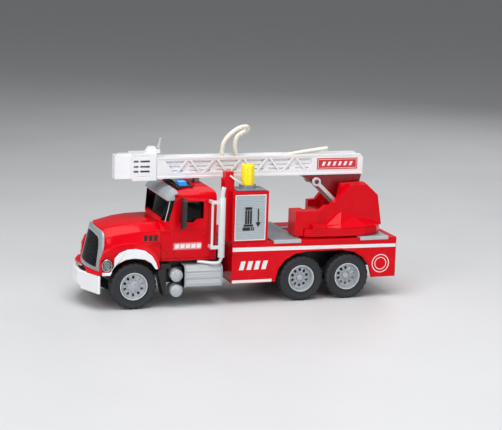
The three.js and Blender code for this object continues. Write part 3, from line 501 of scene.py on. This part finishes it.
taken("ladder_base", "ladder_middle", "ladder_tip", "water_nozzle")
rail = [(-9.35, 119.6), (9.35, 119.6), (9.35, 121.5), (9, 121.9), (9, 138.2), (9.35, 138.6), (9.35, 140.3),
        (-9.35, 140.3), (-9.35, 138.6), (-9, 138.2), (-9, 121.9), (-9.35, 121.5)]
carve("ladder_outer", prism("x", rail, -81.2, 134), [], [
    [block(-90, 132, -7.6, 7.6, 121.3, 150)], [prism("y", [(130.4, 140.7), (134.6, 136.3), (134.6, 141.5), (130.4, 141.5)], -20, 20)],
    truss(), rung_holes(-80, 66, 5.8, 118, 123)], M["ladder"], "boom", ["ladder_base"], "ladder_plastic", bevel=0.22, seg=2, smooth=False)
slots_mid = [block(-75 + 27.4 * k, -54 + 27.4 * k, -20, 20, z, z + 1.3) for k in range(5) for z in (134.6, 130.2, 126.2)]
slots_mid += [block(62, 77, -20, 20, z, z + 1.3) for z in (134.6, 130.2, 126.2)]
carve("ladder_mid_section", block(-81.2, 79, -7.3, 7.3, 122, 138.6), [], [[block(-90, 90, -6.1, 6.1, 123.4, 150)], slots_mid,
      rung_holes(-80, 56, 4.6, 120, 126)], M["ladder"], "ladder_middle", ["ladder_middle"], "ladder_plastic", bevel=0.18, smooth=False)
carve("ladder_tip_section", block(-82.4, 60, -5.8, 5.8, 123.8, 137), [], [[block(-90, 70, -4.7, 4.7, 125.1, 150)],
      rung_holes(-80, 44, 3.4, 122, 128)], M["ladder"], "ladder_tip", ["ladder_tip"], "ladder_plastic", bevel=0.18, smooth=False)
head_slots = []
for z in (136, 130.8, 126.2):
    head_slots += [block(-104.2, -99.3, -20, 20, z, z + 2), block(-97.6, -88.2, -20, 20, z, z + 2)]
shallow = [block(-103.2, -88.2, s * 9.3, s * 12, z, z + 1.3) for s in (-1, 1) for z in (141.3, 121.4)]
carve("ladder_head", block(-105.2, -81.6, -9.8, 9.8, 118.2, 144.6), [
    block(-121.8, -105, -5.3, 5.3, 119.7, 142.8), block(-117, -104.8, -4.6, 4.6, 142.4, 143.8),
    prism("y", [(-91, 144.4), (-87.4, 150.3), (-81.4, 150.3), (-80.6, 149.2), (-80.6, 143.8), (-82, 143.8)], -3.2, 3.2),
    block(-82, -76.6, -3.6, -2.6, 143.8, 147.4), block(-82, -76.6, 2.6, 3.6, 143.8, 147.4)],
      [[block(-103.6, -83.2, -8.4, 8.4, 120, 143)], head_slots, shallow], M["white"], "ladder_tip", ["ladder_tip"], "white_plastic", bevel=0.35, seg=2, smooth=False)
solid("nozzle_jet", merge(
    sweep([(-77.9, 0, 144.4), (-77.35, 0, 148.5), (-77.3, 0, 148.8), (-77.05, 0, 149.8), (-77.0, 0, 150.1), (-75.62, 0, 156.2), (-75.57, 0, 156.4), (-75.2, 0, 158), (-75.2, 0, 158.0), (-75.5, 0, 156.7)],
          [1.9, 1.8, 2.15, 2.15, 1.5, 1.3, 1.6, 1.6, 1.0, 0.9], 24),
    lathe([(0, -2.5), (1.9, -2.5), (2.2, -2.2), (2.2, 2.2), (1.9, 2.5), (0, 2.5)], "y", (-77.9, 145.9), 32)),
    M["nozzle"], "nozzle", ["water_nozzle"], "nozzle_plastic", sharp=32)

# ---- wheels ----
AXL = {"front": -111, "middle": 58.8, "rear": 107.6}
TYRE = [(13.8, -6.3), (14.6, -6.6), (15.1, -6.2), (15.9, -6.25), (18.7, -6.75), (19.1, -7.0), (19.7, -7.0), (20.1, -6.65), (21.3, -6.2), (22.2, -5.5),
        (22.5, -4.8), (22.5, -2.5), (21.8, -2.2), (21.8, -1.8), (22.5, -1.5), (22.5, -0.25), (21.8, -0.1), (21.8, 0.1), (22.5, 0.25), (22.5, 1.5), (21.8, 1.8), (21.8, 2.2),
        (22.5, 2.5), (22.5, 4.8), (22.2, 5.5), (21.3, 6.2), (20.1, 6.65), (19.7, 7.0), (19.1, 7.0), (18.7, 6.75), (15.9, 6.25), (15.1, 6.2), (14.6, 6.6), (13.8, 6.3)]
FRONT_RIM = [(0, 5.3), (1.9, 5.3), (2.5, 4.9), (2.6, 4.4), (4.3, 4.3), (4.9, 4.0), (5.0, 3.6), (10.7, 3.4), (11.2, 3.7), (11.9, 5.4), (12.3, 6.1), (12.8, 6.3), (13.3, 6.2), (13.4, 5.8),
             (13.4, -6), (12.6, -6), (11.5, -5), (11.0, 1.9), (4, 2.2), (0, 2.2)]
REAR_RIM = [(0, 4.3), (1.5, 4.2), (2.8, 3.7), (3.5, 2.9), (3.8, 1.6), (5.2, 1.3), (9.6, 0.8), (10.3, 1.1), (11.4, 4.6), (12.0, 6.0), (12.6, 6.3), (13.3, 6.2), (13.4, 5.8), (13.4, -6),
            (12.6, -6), (11.5, -5.2), (10.5, -0.8), (3.4, -0.6), (0, -0.6)]
for w, X in AXL.items():
    for n, s in SIDES:
        body = w + "_wheels"
        taken(f"{w}_tyre_{n}", f"{w}_rim_{n}")
        tread = lambda k, i, r: r - (0.65 if r > 22.1 and (i // 2) % 4 == 0 else 0)
        g = lathe([(r, s * (38 + h)) for r, h in TYRE], "y", (X, 22.5), 192, close=True, mod=tread)
        solid(f"{w}_tyre_{n}_tread", g, M["tyre"], body, [f"{w}_tyre_{n}"], "tyre_rubber", sharp=28)
        prof = FRONT_RIM if w == "front" else REAR_RIM
        hole_r, hs, top, bolt_r, bolt_z = (8.6, 1.3, 5, 6.2, 3.5) if w == "front" else (7.7, 1.35, 3, 4.7, 1.2)
        g = lathe([(r, s * (38 + h)) for r, h in prof], "y", (X, 22.5), 64)
        holes = []
        for k in range(10):
            a = 2 * math.pi * (k + 0.5) / 10
            ring = []
            for j in range(14):
                b = 2 * math.pi * j / 14
                rr, tt = hole_r + 1.7 * math.cos(b), hs * math.sin(b)
                ring.append((X + rr * math.cos(a) - tt * math.sin(a), 22.5 + rr * math.sin(a) + tt * math.cos(a)))
            holes.append(prism("y", ring, s * (38 - 4), s * (38 + top)))
        o = raw_obj(f"{w}_rim_{n}_dish", g, M["rim"])
        boolean(o, holes)
        settle(o, body, [f"{w}_rim_{n}"], "rim_plastic", sharp=28)
        solid(f"{w}_rim_{n}_ring", lathe([(12.4, s * 44.1), (12.9, s * 44.45), (13.3, s * 44.2), (13.3, s * 43.9), (12.4, s * 43.9)], "y", (X, 22.5), 64, close=True), M["stack"], body, sharp=50)
        bolts = merge(*[lathe([(0, s * (38 + bolt_z + 1.0)), (0.45, s * (38 + bolt_z + 1.0)), (0.7, s * (38 + bolt_z + 0.8)), (0.7, s * (38 + bolt_z - 0.3)), (0, s * (38 + bolt_z - 0.3))], "y",
                              (X + bolt_r * math.cos(2 * math.pi * k / 10), 22.5 + bolt_r * math.sin(2 * math.pi * k / 10)), 6) for k in range(10)])
        solid(f"{w}_rim_{n}_bolts", bolts, M["steel"], body, sharp=20)

# ---- grille: bowed ring and a real wire mesh in front of a dark plate ----
def nose_x(y, z):
    return -151.2 + 7.2 * (abs(y) / 35.5) ** 2.2 + 9 * (z - 36) / 37


OUTR = [(0, 36.6), (35.4, 36.6), (33.5, 49), (31, 61.4), (28.7, 68), (26.4, 71.4), (23.4, 73.2), (12, 74.2), (0, 74.4)]
INNR = [(0, 39.4), (29.6, 39.4), (27.5, 50), (25.2, 60), (22.7, 64.7), (20.5, 66.7), (18, 67.7), (8, 69), (0, 69.2)]


def fine(h, n=4):
    out = []
    for a, b in zip(h, h[1:]):
        out += [(a[0] + (b[0] - a[0]) * k / n, a[1] + (b[1] - a[1]) * k / n) for k in range(n)]
    out.append(h[-1])
    return out + [(-y, z) for y, z in out[-2:0:-1]]


fo, fi = fine(OUTR), fine(INNR)
v, f = [], []
for (yo, zo), (yi, zi) in zip(fo, fi):
    for t, d in ((0, 2.3), (0, 0.5), (0.10, 0.06), (0.5, -0.02), (0.88, 0.1), (1, 0.6), (1, 2.3)):
        y, z = yo + (yi - yo) * t, zo + (zi - zo) * t
        v.append((nose_x(y, z) + d, y, z))
cnt = len(fo)
for i in range(cnt):
    j = (i + 1) % cnt
    for k in range(7):
        l = (k + 1) % 7
        f.append([i * 7 + k, j * 7 + k, j * 7 + l, i * 7 + l])
taken("grille_surround", "grille_mesh")
solid("grille_ring", (v, f), M["silver"], "truck", ["grille_surround"], "silver_plastic", sharp=40)


def inner_half(z):
    pts = INNR[1:]
    for (y0, z0), (y1, z1) in zip(pts, pts[1:]):
        if z0 <= z <= z1:
            return y0 + (y1 - y0) * (z - z0) / (z1 - z0)
    return 0


plate_v, plate_f = [], []
rows = [39.6 + k * (69.0 - 39.6) / 16 for k in range(17)]
for z in rows:
    for i in range(17):
        y = (-1 + 2 * i / 16) * max(1.0, inner_half(z) - 0.25)
        plate_v.append((nose_x(y, z) + 1.7, y, z))
    for i in range(17):
        y = (-1 + 2 * i / 16) * max(1.0, inner_half(z) - 0.25)
        plate_v.append((nose_x(y, z) + 2.35, y, z))
for r in range(16):
    for i in range(16):
        a = r * 34 + i
        plate_f += [[a, a + 1, a + 35, a + 34], [a + 17, a + 51, a + 52, a + 18]]
    a, b = r * 34, r * 34 + 16
    plate_f += [[a, a + 34, a + 51, a + 17], [b, b + 17, b + 51, b + 34]]
for i in range(16):
    a, b = i, 16 * 34 + i
    plate_f += [[a, a + 17, a + 18, a + 1], [b, b + 1, b + 18, b + 17]]
solid("grille_plate", (plate_v, plate_f), M["deepblack"], "truck", ["grille_mesh"], "black_plastic")
wires = []
z = 41.4
while z < 68.4:
    hw = inner_half(z) - 0.3
    wires.append(sweep([(nose_x(y, z) + 1.35, y, z) for y in [hw * (-1 + 2 * i / 12) for i in range(13)]], 0.42, 6))
    z += 2.7
for i in range(-9, 10):
    y = i * 2.9
    zs = [39.8 + k * 0.5 for k in range(60) if inner_half(39.8 + k * 0.5) > abs(y) + 0.4 and 39.8 + k * 0.5 < 68.8]
    if len(zs) > 2:
        wires.append(sweep([(nose_x(y, q) + 1.3, y, q) for q in (zs[0], zs[len(zs) // 2], zs[-1])], 0.42, 6))
solid("grille_wires", merge(*wires), M["glossblack"], "truck", sharp=50)

# ---- headlights: bezel, reflector and fluted lens ----
for n, s in SIDES:
    taken("headlight_" + n)
    c = (-137.6, 44.3)
    slim = lambda g: ([(c[0] + (p[0] - c[0]) * 0.84, p[1], p[2]) for p in g[0]], g[1])
    solid("headlight_bezel_" + n, slim(lathe([(5.0, s * 42.6), (6.0, s * 42.6), (6.0, s * 45.2), (5.75, s * 45.5), (5.2, s * 45.5), (5.0, s * 45.2)], "y", c, 40, close=True)),
          M["steel"], "truck", ["headlight_" + n], "steel", sharp=30)
    solid("headlight_reflector_" + n, slim(lathe([(0, s * 43.0), (3, s * 43.2), (5.1, s * 43.9), (5.1, s * 42.6), (0, s * 42.6)], "y", c, 40)), M["darkgrey"], "truck", sharp=30)
    fl = []
    for k in range(-3, 4):
        x = k * 1.42
        h = math.sqrt(max(0.5, 5.0 ** 2 - (abs(x) + 0.6) ** 2))
        rib = [(c[0] + x + 0.62 * math.cos(math.pi * q / 6), s * (44.5 + 0.6 * math.sin(math.pi * q / 6))) for q in range(7)]
        rib = rib + [(c[0] + x - 0.62, s * 44.0), (c[0] + x + 0.62, s * 44.0)]
        fl.append(prism("z", rib, c[1] - h, c[1] + h))
    solid("headlight_flutes_" + n, slim(merge(*fl)), M["lens"], "truck", slot="clear_lens", sharp=40)

# ---- hood vents, a painted crease shade line, and door gap lines with painted belt and sill shade lines ----
for n, s in SIDES:
    def side_y(x, z):
        hip = table([(-152, 31.6), (-141, 33), (-134, 35.6), (-120, 38.8), (-100, 39.8), (-84, 40)], x)
        belt = table([(-152, 29.6), (-138, 31.2), (-134, 31.9), (-122, 34), (-107, 36), (-91, 38), (-84, 38.8)], x)
        zb = table([(-134.4, 68.4), (-122.8, 70.9), (-107, 72.9), (-91.3, 74.1), (-84, 74.4)], x) - 0.5
        return hip + (belt - hip) * max(0, z - 62) / (zb - 62)

    def onto(o, k):
        for vt in o.data.vertices:
            x, d, z = vt.co.x / MM, vt.co.y / MM, vt.co.z / MM
            vt.co.y = k * (side_y(x, z) + d) * MM
        return o

    fr = raw_obj("hood_vent_frame_" + n, prism("y", rect(-102, -86.4, 64.2, 71.9), -0.2, 1.0), M["red"])
    boolean(fr, [prism("y", [(x0, 65.3), (x0 + 3.5, 65.3), (x0 + 3.8, 70.7), (x0 + 0.3, 70.7)], -3, 3) for x0 in (-100.7, -96.0, -91.3)])
    settle(onto(fr, s), "truck", slot="red_plastic", bevel=0.15, smooth=False)
    settle(onto(raw_obj("hood_vent_back_" + n, prism("y", rect(-101.2, -87.0, 64.9, 71.2), -0.2, 0.62), M["black"]), s), "truck", slot="black_plastic", smooth=False)
    yy = s * 40.02
    # a dark red rod laid along the crease: painted shade in the fold
    solid("hood_crease_shade_line_" + n, sweep([(-92.4, s * 39.9, 62.4), (-89.9, yy, 62.0), (-85.8, yy, 60.4), (-79.1, yy, 53.6), (-77.4, yy, 52.7)], 0.28, 8), M["darkred"], "truck", sharp=50)
    # the two door edges are panel gaps; the line along the belt at Z 74-75 is painted crease shade and the line at Z
    # 47.4 is a painted shadow over the sill
    lines = [[(-83.6, 73.6), (-75, 74.2), (-60, 74.8), (-44, 75.0), (-37.2, 75.0)], [(-37.2, 98), (-37.2, 47.6)], [(-71.4, 74.3), (-71.4, 58), (-70.4, 50), (-69, 47.6)], [(-83, 47.4), (-60, 47.4), (-30, 47.4)]]
    solid("door_gaps_and_shade_lines_" + n, merge(*[sweep([(x, s * 40.0, z) for x, z in L], 0.2, 6) for L in lines]), M["darkred"], "truck", sharp=50)
    solid("door_handle_" + n, block(-43.6, -38.6, s * 40.0, s * 41.0, 70.0, 71.9), M["red"], "truck", slot="red_plastic", bevel=0.4)
    solid("sill_" + n, block(-83, -30, s * 40.0, s * 40.7, 45.2, 46.9), M["red"], "truck", slot="red_plastic", bevel=0.3)

# ---- tank steps ----
for n, s in SIDES:
    taken("side_tanks_" + n)
    prof = [(31.3, 20), (43.6, 19.2), (46.4, 20.4), (47.4, 22.4), (47.4, 26.2), (46.9, 26.6), (46.9, 27.8), (47.5, 28.2), (47.5, 33.0), (46.9, 33.4), (46.9, 34.6), (47.4, 35.0),
            (47.2, 37.0), (46.2, 39.2), (43.6, 40.8), (31.3, 41)]
    solid("tank_step_" + n, prism("x", [(s * a, b) for a, b in prof], -62, -24), M["tankgrey"], "truck", ["side_tanks_" + n], "grey_plastic", bevel=0.3, angle=24)
    dots = []
    for k in range(19):
        for z in (36.2, 30.6, 24.4):
            dots.append(lathe([(0, s * 48.0), (0.45, s * 47.9), (0.6, s * 47.2), (0, s * 47.2)], "y", (-60 + k * 1.95, z), 6))
    solid("tank_step_dots_" + n, merge(*dots), M["stack"], "truck", sharp=60)
    bands = [prism("x", [(s * 31.3, 19.7), (s * 44, 18.9), (s * 47, 20.2), (s * 48, 23.4), (s * 48, 36.6), (s * 47, 39.8), (s * 44, 41.2), (s * 31.3, 41.2)], x, x + 1.6) for x in (-62, -25.6)]
    solid("tank_straps_" + n, merge(*bands), M["silver"], "truck", bevel=0.25)
    for i, z in enumerate((31.9, 16.9)):
        solid(f"air_tank_{n}_{i}", lathe([(0, s * 48), (2.4, s * 47.9), (4.4, s * 47.2), (5.2, s * 46.5), (5.3, s * 46.2), (5.5, s * 46.2), (6.0, s * 46.4), (6.0, s * 45.2), (5.7, s * 45.0), (5.7, s * 31.3), (0, s * 31.3)],
                                         "y", (-69.6, z), 48), M["tankgrey"], "truck", slot="grey_plastic", sharp=30)
    solid("tank_bracket_" + n, block(-71, -61, s * 31.3, s * 37, 19, 38), M["darkgrey"], "truck", bevel=0.4)

# ---- ribbed shutter with its printed pump picture ----
taken("shutter_panel")
zs, prof = 63.6, []
while zs < 106.6:
    prof += [(-44.8, zs), (-44.85, zs + 0.3), (-45.22, zs + 0.6), (-45.22, zs + 1.3), (-44.85, zs + 1.6)]
    zs += 1.696
prof += [(-44.95, 107.7), (-44.3, 107.7), (-44.3, 63.6)]
solid("shutter_slats", prism("x", prof, -11.7, 18.9), M["shutter"], "truck", ["shutter_panel"], "grey_plastic", smooth=False)
frame_o = raw_obj("shutter_frame", block(-12.1, 19.3, -45.32, -44.6, 63.2, 108.1), M["stickerwhite"])
boolean(frame_o, [block(-11.3, 18.5, -50, -40, 64.0, 107.3)])
settle(frame_o, "truck", bevel=0.12, smooth=False)
pic = [rect(-1.9, 5.0, 93.4, 95.9), rect(-1.9, 0.0, 79.5, 92.9), rect(0.6, 2.5, 79.5, 92.9), rect(3.1, 5.0, 79.5, 92.9), rect(-3.2, 6.3, 76.9, 78.9), rect(-4.2, 3.4, 72.9, 76.3), rect(4.1, 5.3, 72.9, 76.3), rect(6.0, 7.4, 72.9, 76.3),
       rect(10.9, 12.2, 80.6, 94.1), [(8.9, 80.8), (11.55, 76.2), (14.2, 80.8)]]
solid("shutter_picture", merge(*[side_plate(p, 45.15, 0.2) for p in pic]), M["print"], "truck", bevel=0.06, smooth=False)

# ---- tread plates ----
taken("deck_plates")
plates, bumps = [], []
for x0, x1 in ((27, 57), (118, 150)):
    plates.append(block(x0, x1, -42.6, 42.6, 61.3, 62.05))
    nx, ny = int((x1 - x0 - 2) / 2.6), 32
    for i in range(nx):
        for j in range(ny):
            cx, cy = x0 + 1.8 + i * 2.6, -41 + j * 2.62
            a = math.radians(38 if (i + j) % 2 else -38)
            c, sn = math.cos(a), math.sin(a)
            quad = [(cx + c * p - sn * q, cy + sn * p + c * q) for p, q in ((-0.95, 0), (0, -0.32), (0.95, 0), (0, 0.32))]
            top = [(cx + (x - cx) * 0.6, cy + (y - cy) * 0.6) for x, y in quad]
            bumps.append(([(x, y, 62.0) for x, y in quad] + [(x, y, 62.28) for x, y in top],
                          [[3, 2, 1, 0], [4, 5, 6, 7]] + [[k, (k + 1) % 4, 4 + (k + 1) % 4, 4 + k] for k in range(4)]))
for sgn in (-1, 1):
    plates.append(block(57.0, 118.0, sgn * 12, sgn * 20, 61.3, 61.95))
solid("deck_tread", merge(*plates), M["grey"], "truck", ["deck_plates"], "grey_plastic", bevel=0.2, smooth=False)
solid("deck_tread_lozenges", merge(*bumps), M["grey"], "truck", smooth=False)
solid("deck_edge_strips", merge(*[prism("x", [(k * 42.7, 61.08), (k * 45.05, 61.08), (k * 45.05, 58.9), (k * 45.45, 58.9), (k * 45.45, 61.9), (k * 45.1, 62.2), (k * 42.7, 62.2)], x0 + 1.6, x1 - 0.2)
                                  for x0, x1 in ((27, 57), (118, 150)) for k in (-1, 1)]), M["tankgrey"], "truck", bevel=0.12, smooth=False)

# ---- stripes and plain graphics, thin printed films ----
for n, s in SIDES:
    solid("body_stripes_" + n, merge(side_plate([(-13.6, 52.5), (158.4, 50.9), (158.4, 54.2), (-13.6, 56.5)], 45, 0.14, s), side_plate(rect(-13.4, 27.4, 21.2, 23.9), 45, 0.14, s)),
          M["stickerwhite"], "truck", smooth=False)
    bars = [side_plate(rect(-6.6 + k * 7.6, -2.0 + k * 7.6, 34, 42.5, 2.2), 45, 0.14, s) for k in range(4)]
    solid("body_bars_" + n, merge(*bars), M["stickerwhite"], "truck", smooth=False)
    rings = [lathe([(a, s * 45.0), (b, s * 45.0), (b, s * 45.14), (a, s * 45.14)], "y", (142.5, 34.5), 48, close=True) for a, b in ((8.5, 9.3), (5.6, 6.3))]
    solid("body_rings_" + n, merge(*rings), M["stickerwhite"], "truck", smooth=False)
    solid("door_label_" + n, side_plate(rect(-72.0, -44.0, 55.6, 62.4), 40, 0.1, s), M["labelpink"], "truck", smooth=False)
    solid("door_label_bars_" + n, merge(*[side_plate(rect(-70.6 + k * 5.5, -66.2 + k * 5.5, 57.0, 61.0, 0.5), 40, 0.17, s) for k in range(5)]), M["stickerwhite"], "truck", smooth=False)
    yb = 9.0
    solid("ladder_label_" + n, side_plate(rect(83.9, 128.6, 124.4, 136.9), yb, 0.1, s), M["stickerwhite"], "boom", bevel=0.05, smooth=False)
    solid("ladder_label_field_" + n, side_plate(rect(84.5, 128.0, 125.0, 136.3), yb, 0.2, s), M["sticker"], "boom", bevel=0.05, smooth=False)
    fr = raw_obj("ladder_label_line_" + n, side_plate(rect(85.6, 126.9, 126.1, 135.2), yb, 0.27, s), M["stickerwhite"])
    boolean(fr, [side_plate(rect(86.0, 126.5, 126.5, 134.8), 5, 10, s)])
    settle(fr, "boom", smooth=False)
    solid("ladder_label_bars_" + n, merge(*[side_plate(rect(89.5 + k * 5.8, 92.3 + k * 5.8, 128.6, 132.7, 1.6), yb, 0.27, s) for k in range(6)]), M["stickerwhite"], "boom", smooth=False)

# ---- sun visor: one curved peak with end cheeks ----
taken("sun_visor")
TOPV = [(-79.7, 105.2), (-78.5, 107.0), (-77.1, 108.6), (-75.3, 110.1), (-73.2, 111.4), (-70.9, 112.4), (-68.6, 113.1)]
BOTV = [(-79.4, 104.0), (-78.1, 105.7), (-76.6, 107.3), (-74.8, 108.8), (-72.8, 110.1), (-70.6, 111.2), (-68.6, 111.9)]
v, f = [], []
ys = [-41.6, -41.0, -39.4, -34, -28, -20, -10, 0, 10, 20, 28, 34, 39.4, 41.0, 41.6]
for y in ys:
    e = max(0, (abs(y) - 30) / 11.6)
    dx, dz = 1.3 * e * e, -1.5 * e * e
    for x, z in TOPV + BOTV[::-1]:
        k = (x + 79.7) / 11.1
        v.append((x + dx * (1 - k) * 0.8, y, z + dz * (0.4 + 0.6 * k)))
m = len(TOPV) * 2
for i in range(len(ys) - 1):
    for k in range(m):
        l = (k + 1) % m
        f.append([i * m + k, i * m + l, (i + 1) * m + l, (i + 1) * m + k])
f.append(list(range(m)))
f.append([(len(ys) - 1) * m + k for k in range(m)][::-1])
solid("visor_peak", (v, f), M["silver"], "truck", ["sun_visor"], "silver_plastic", sharp=38)
for n, s in SIDES:
    ck = [(-79.2, 104), (-78.4, 105.6), (-76.9, 107.5), (-74.6, 109.4), (-72.6, 109.4), (-71.4, 107.6), (-71.2, 105.4), (-72.4, 104)]
    solid("visor_cheek_" + n, prism("y", ck, s * 40.5, s * 41.7), M["silver"], "truck", bevel=0.4, slot="silver_plastic")
solid("visor_ribs", merge(*[sweep([(x + 0.0, y, z + 0.12) for x, z in TOPV[1:]], 0.22, 8) for y in (-26, -13, 0, 13, 26)]), M["silver"], "truck", sharp=50)

# ---- dark corners of the screen and the bright trim ----
PLAN = [(-84.6, 14), (-82.4, 28), (-78.2, 37), (-73.5, 40), (-29, 40)]
for n, s in SIDES:
    v, f, K = [], [], 9
    for r in range(11):
        z = 83.4 + r * 2.02
        x0 = -82.2 + 4.0 * (z - 83.5) / 20 + 0.25
        x1 = -76.4 + (z - 83.4) * 5.0 / 20.2
        for k in range(K):
            x = x0 + (x1 - x0) * k / (K - 1)
            y = table(PLAN, x)
            v += [(x - 0.06, s * (y + 0.16), z), (x + 0.3, s * (y - 0.6), z)]
    W = 2 * K
    for r in range(10):
        for k in range(K - 1):
            a0, b0 = r * W + 2 * k, (r + 1) * W + 2 * k
            f += [[a0, a0 + 2, b0 + 2, b0], [a0 + 1, b0 + 1, b0 + 3, a0 + 3]]
        f += [[r * W, (r + 1) * W, (r + 1) * W + 1, r * W + 1], [r * W + W - 2, r * W + W - 1, (r + 1) * W + W - 1, (r + 1) * W + W - 2]]
    for k in range(K - 1):
        a0, b0 = 2 * k, 10 * W + 2 * k
        f += [[a0, a0 + 1, a0 + 3, a0 + 2], [b0, b0 + 2, b0 + 3, b0 + 1]]
    solid("screen_corner_" + n, (v, f), M["glass"], "truck", slot="window_plastic", sharp=60)
    solid("pillar_trim_" + n, sweep([(-79.2, s * 35.5, 82.9), (-77.3, s * 37.9, 93.5), (-75.5, s * 39.0, 104.2)], 0.42, 10), M["stack"], "truck", sharp=50)

# ---- plunger ----
taken("pump_plunger")
solid("plunger_rod", lathe([(0, 134.7), (4.6, 134.7), (5.0, 135.1), (5.6, 135.3), (6.2, 135.0), (6.5, 134.4), (6.5, 96), (0, 96)], "z", (4.6, -30), 64), M["yellow"], "pump_plunger", ["pump_plunger"], "yellow_plastic", sharp=50)

# ---- return spring, a fixed coil with a mesh of its own; on the toy it shortens as the plunger goes down ----
taken("pump_spring")
coil = solid("return_spring", sweep([(4.6 + 4.9 * math.cos(math.radians(a)), -30 + 4.9 * math.sin(math.radians(a)), 66.6 + 28.4 * a / 1800) for a in range(0, 1801, 15)], 0.6, 8),
             M["steel"], "truck", ["pump_spring"], "steel", sharp=50)
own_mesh(coil)

for name, (mat, bev) in KEEP.items():
    if name in N:
        keep(name, M[mat], bev)

# ---- floor and lights --------------------------------------------------------------------
floor = raw_obj("floor", ([(-6000, -6000, 0), (6000, -6000, 0), (6000, 6000, 0), (-6000, 6000, 0)], [[0, 1, 2, 3]]),
                material("floor", "d9dadc", 0.5, 0.04, 0.015, 8, 0.02, 200, scuff=0.03))
world = bpy.data.worlds.new("world")
scene.world = world
world.use_nodes = True
bg = world.node_tree.nodes["Background"]
bg.inputs["Color"].default_value = (0.82, 0.83, 0.85, 1)
bg.inputs["Strength"].default_value = 0.21


def area(name, where, target, size, power, colour=(1, 1, 1)):
    d = bpy.data.lights.new(name, "AREA")
    d.shape, d.size, d.size_y, d.energy, d.color = "RECTANGLE", size[0], size[1], power, colour
    o = bpy.data.objects.new(name, d)
    scene.collection.objects.link(o)
    o.location = where
    o.rotation_euler = (Vector(target) - Vector(where)).to_track_quat("-Z", "Y").to_euler()
    return o


area("key_top", (-0.15, -0.25, 1.15), (0, 0, 0.06), (1.1, 0.8), 12.0)
area("key_front", (-1.1, -0.75, 0.75), (-0.05, 0, 0.06), (0.8, 0.8), 7.4, (1.0, 0.99, 0.97))
area("fill_side", (0.55, -1.35, 0.5), (0.05, 0, 0.07), (1.2, 0.7), 4.8, (0.96, 0.98, 1.0))
area("rim_back", (0.9, 0.9, 0.8), (0, 0, 0.08), (0.9, 0.6), 3.5)
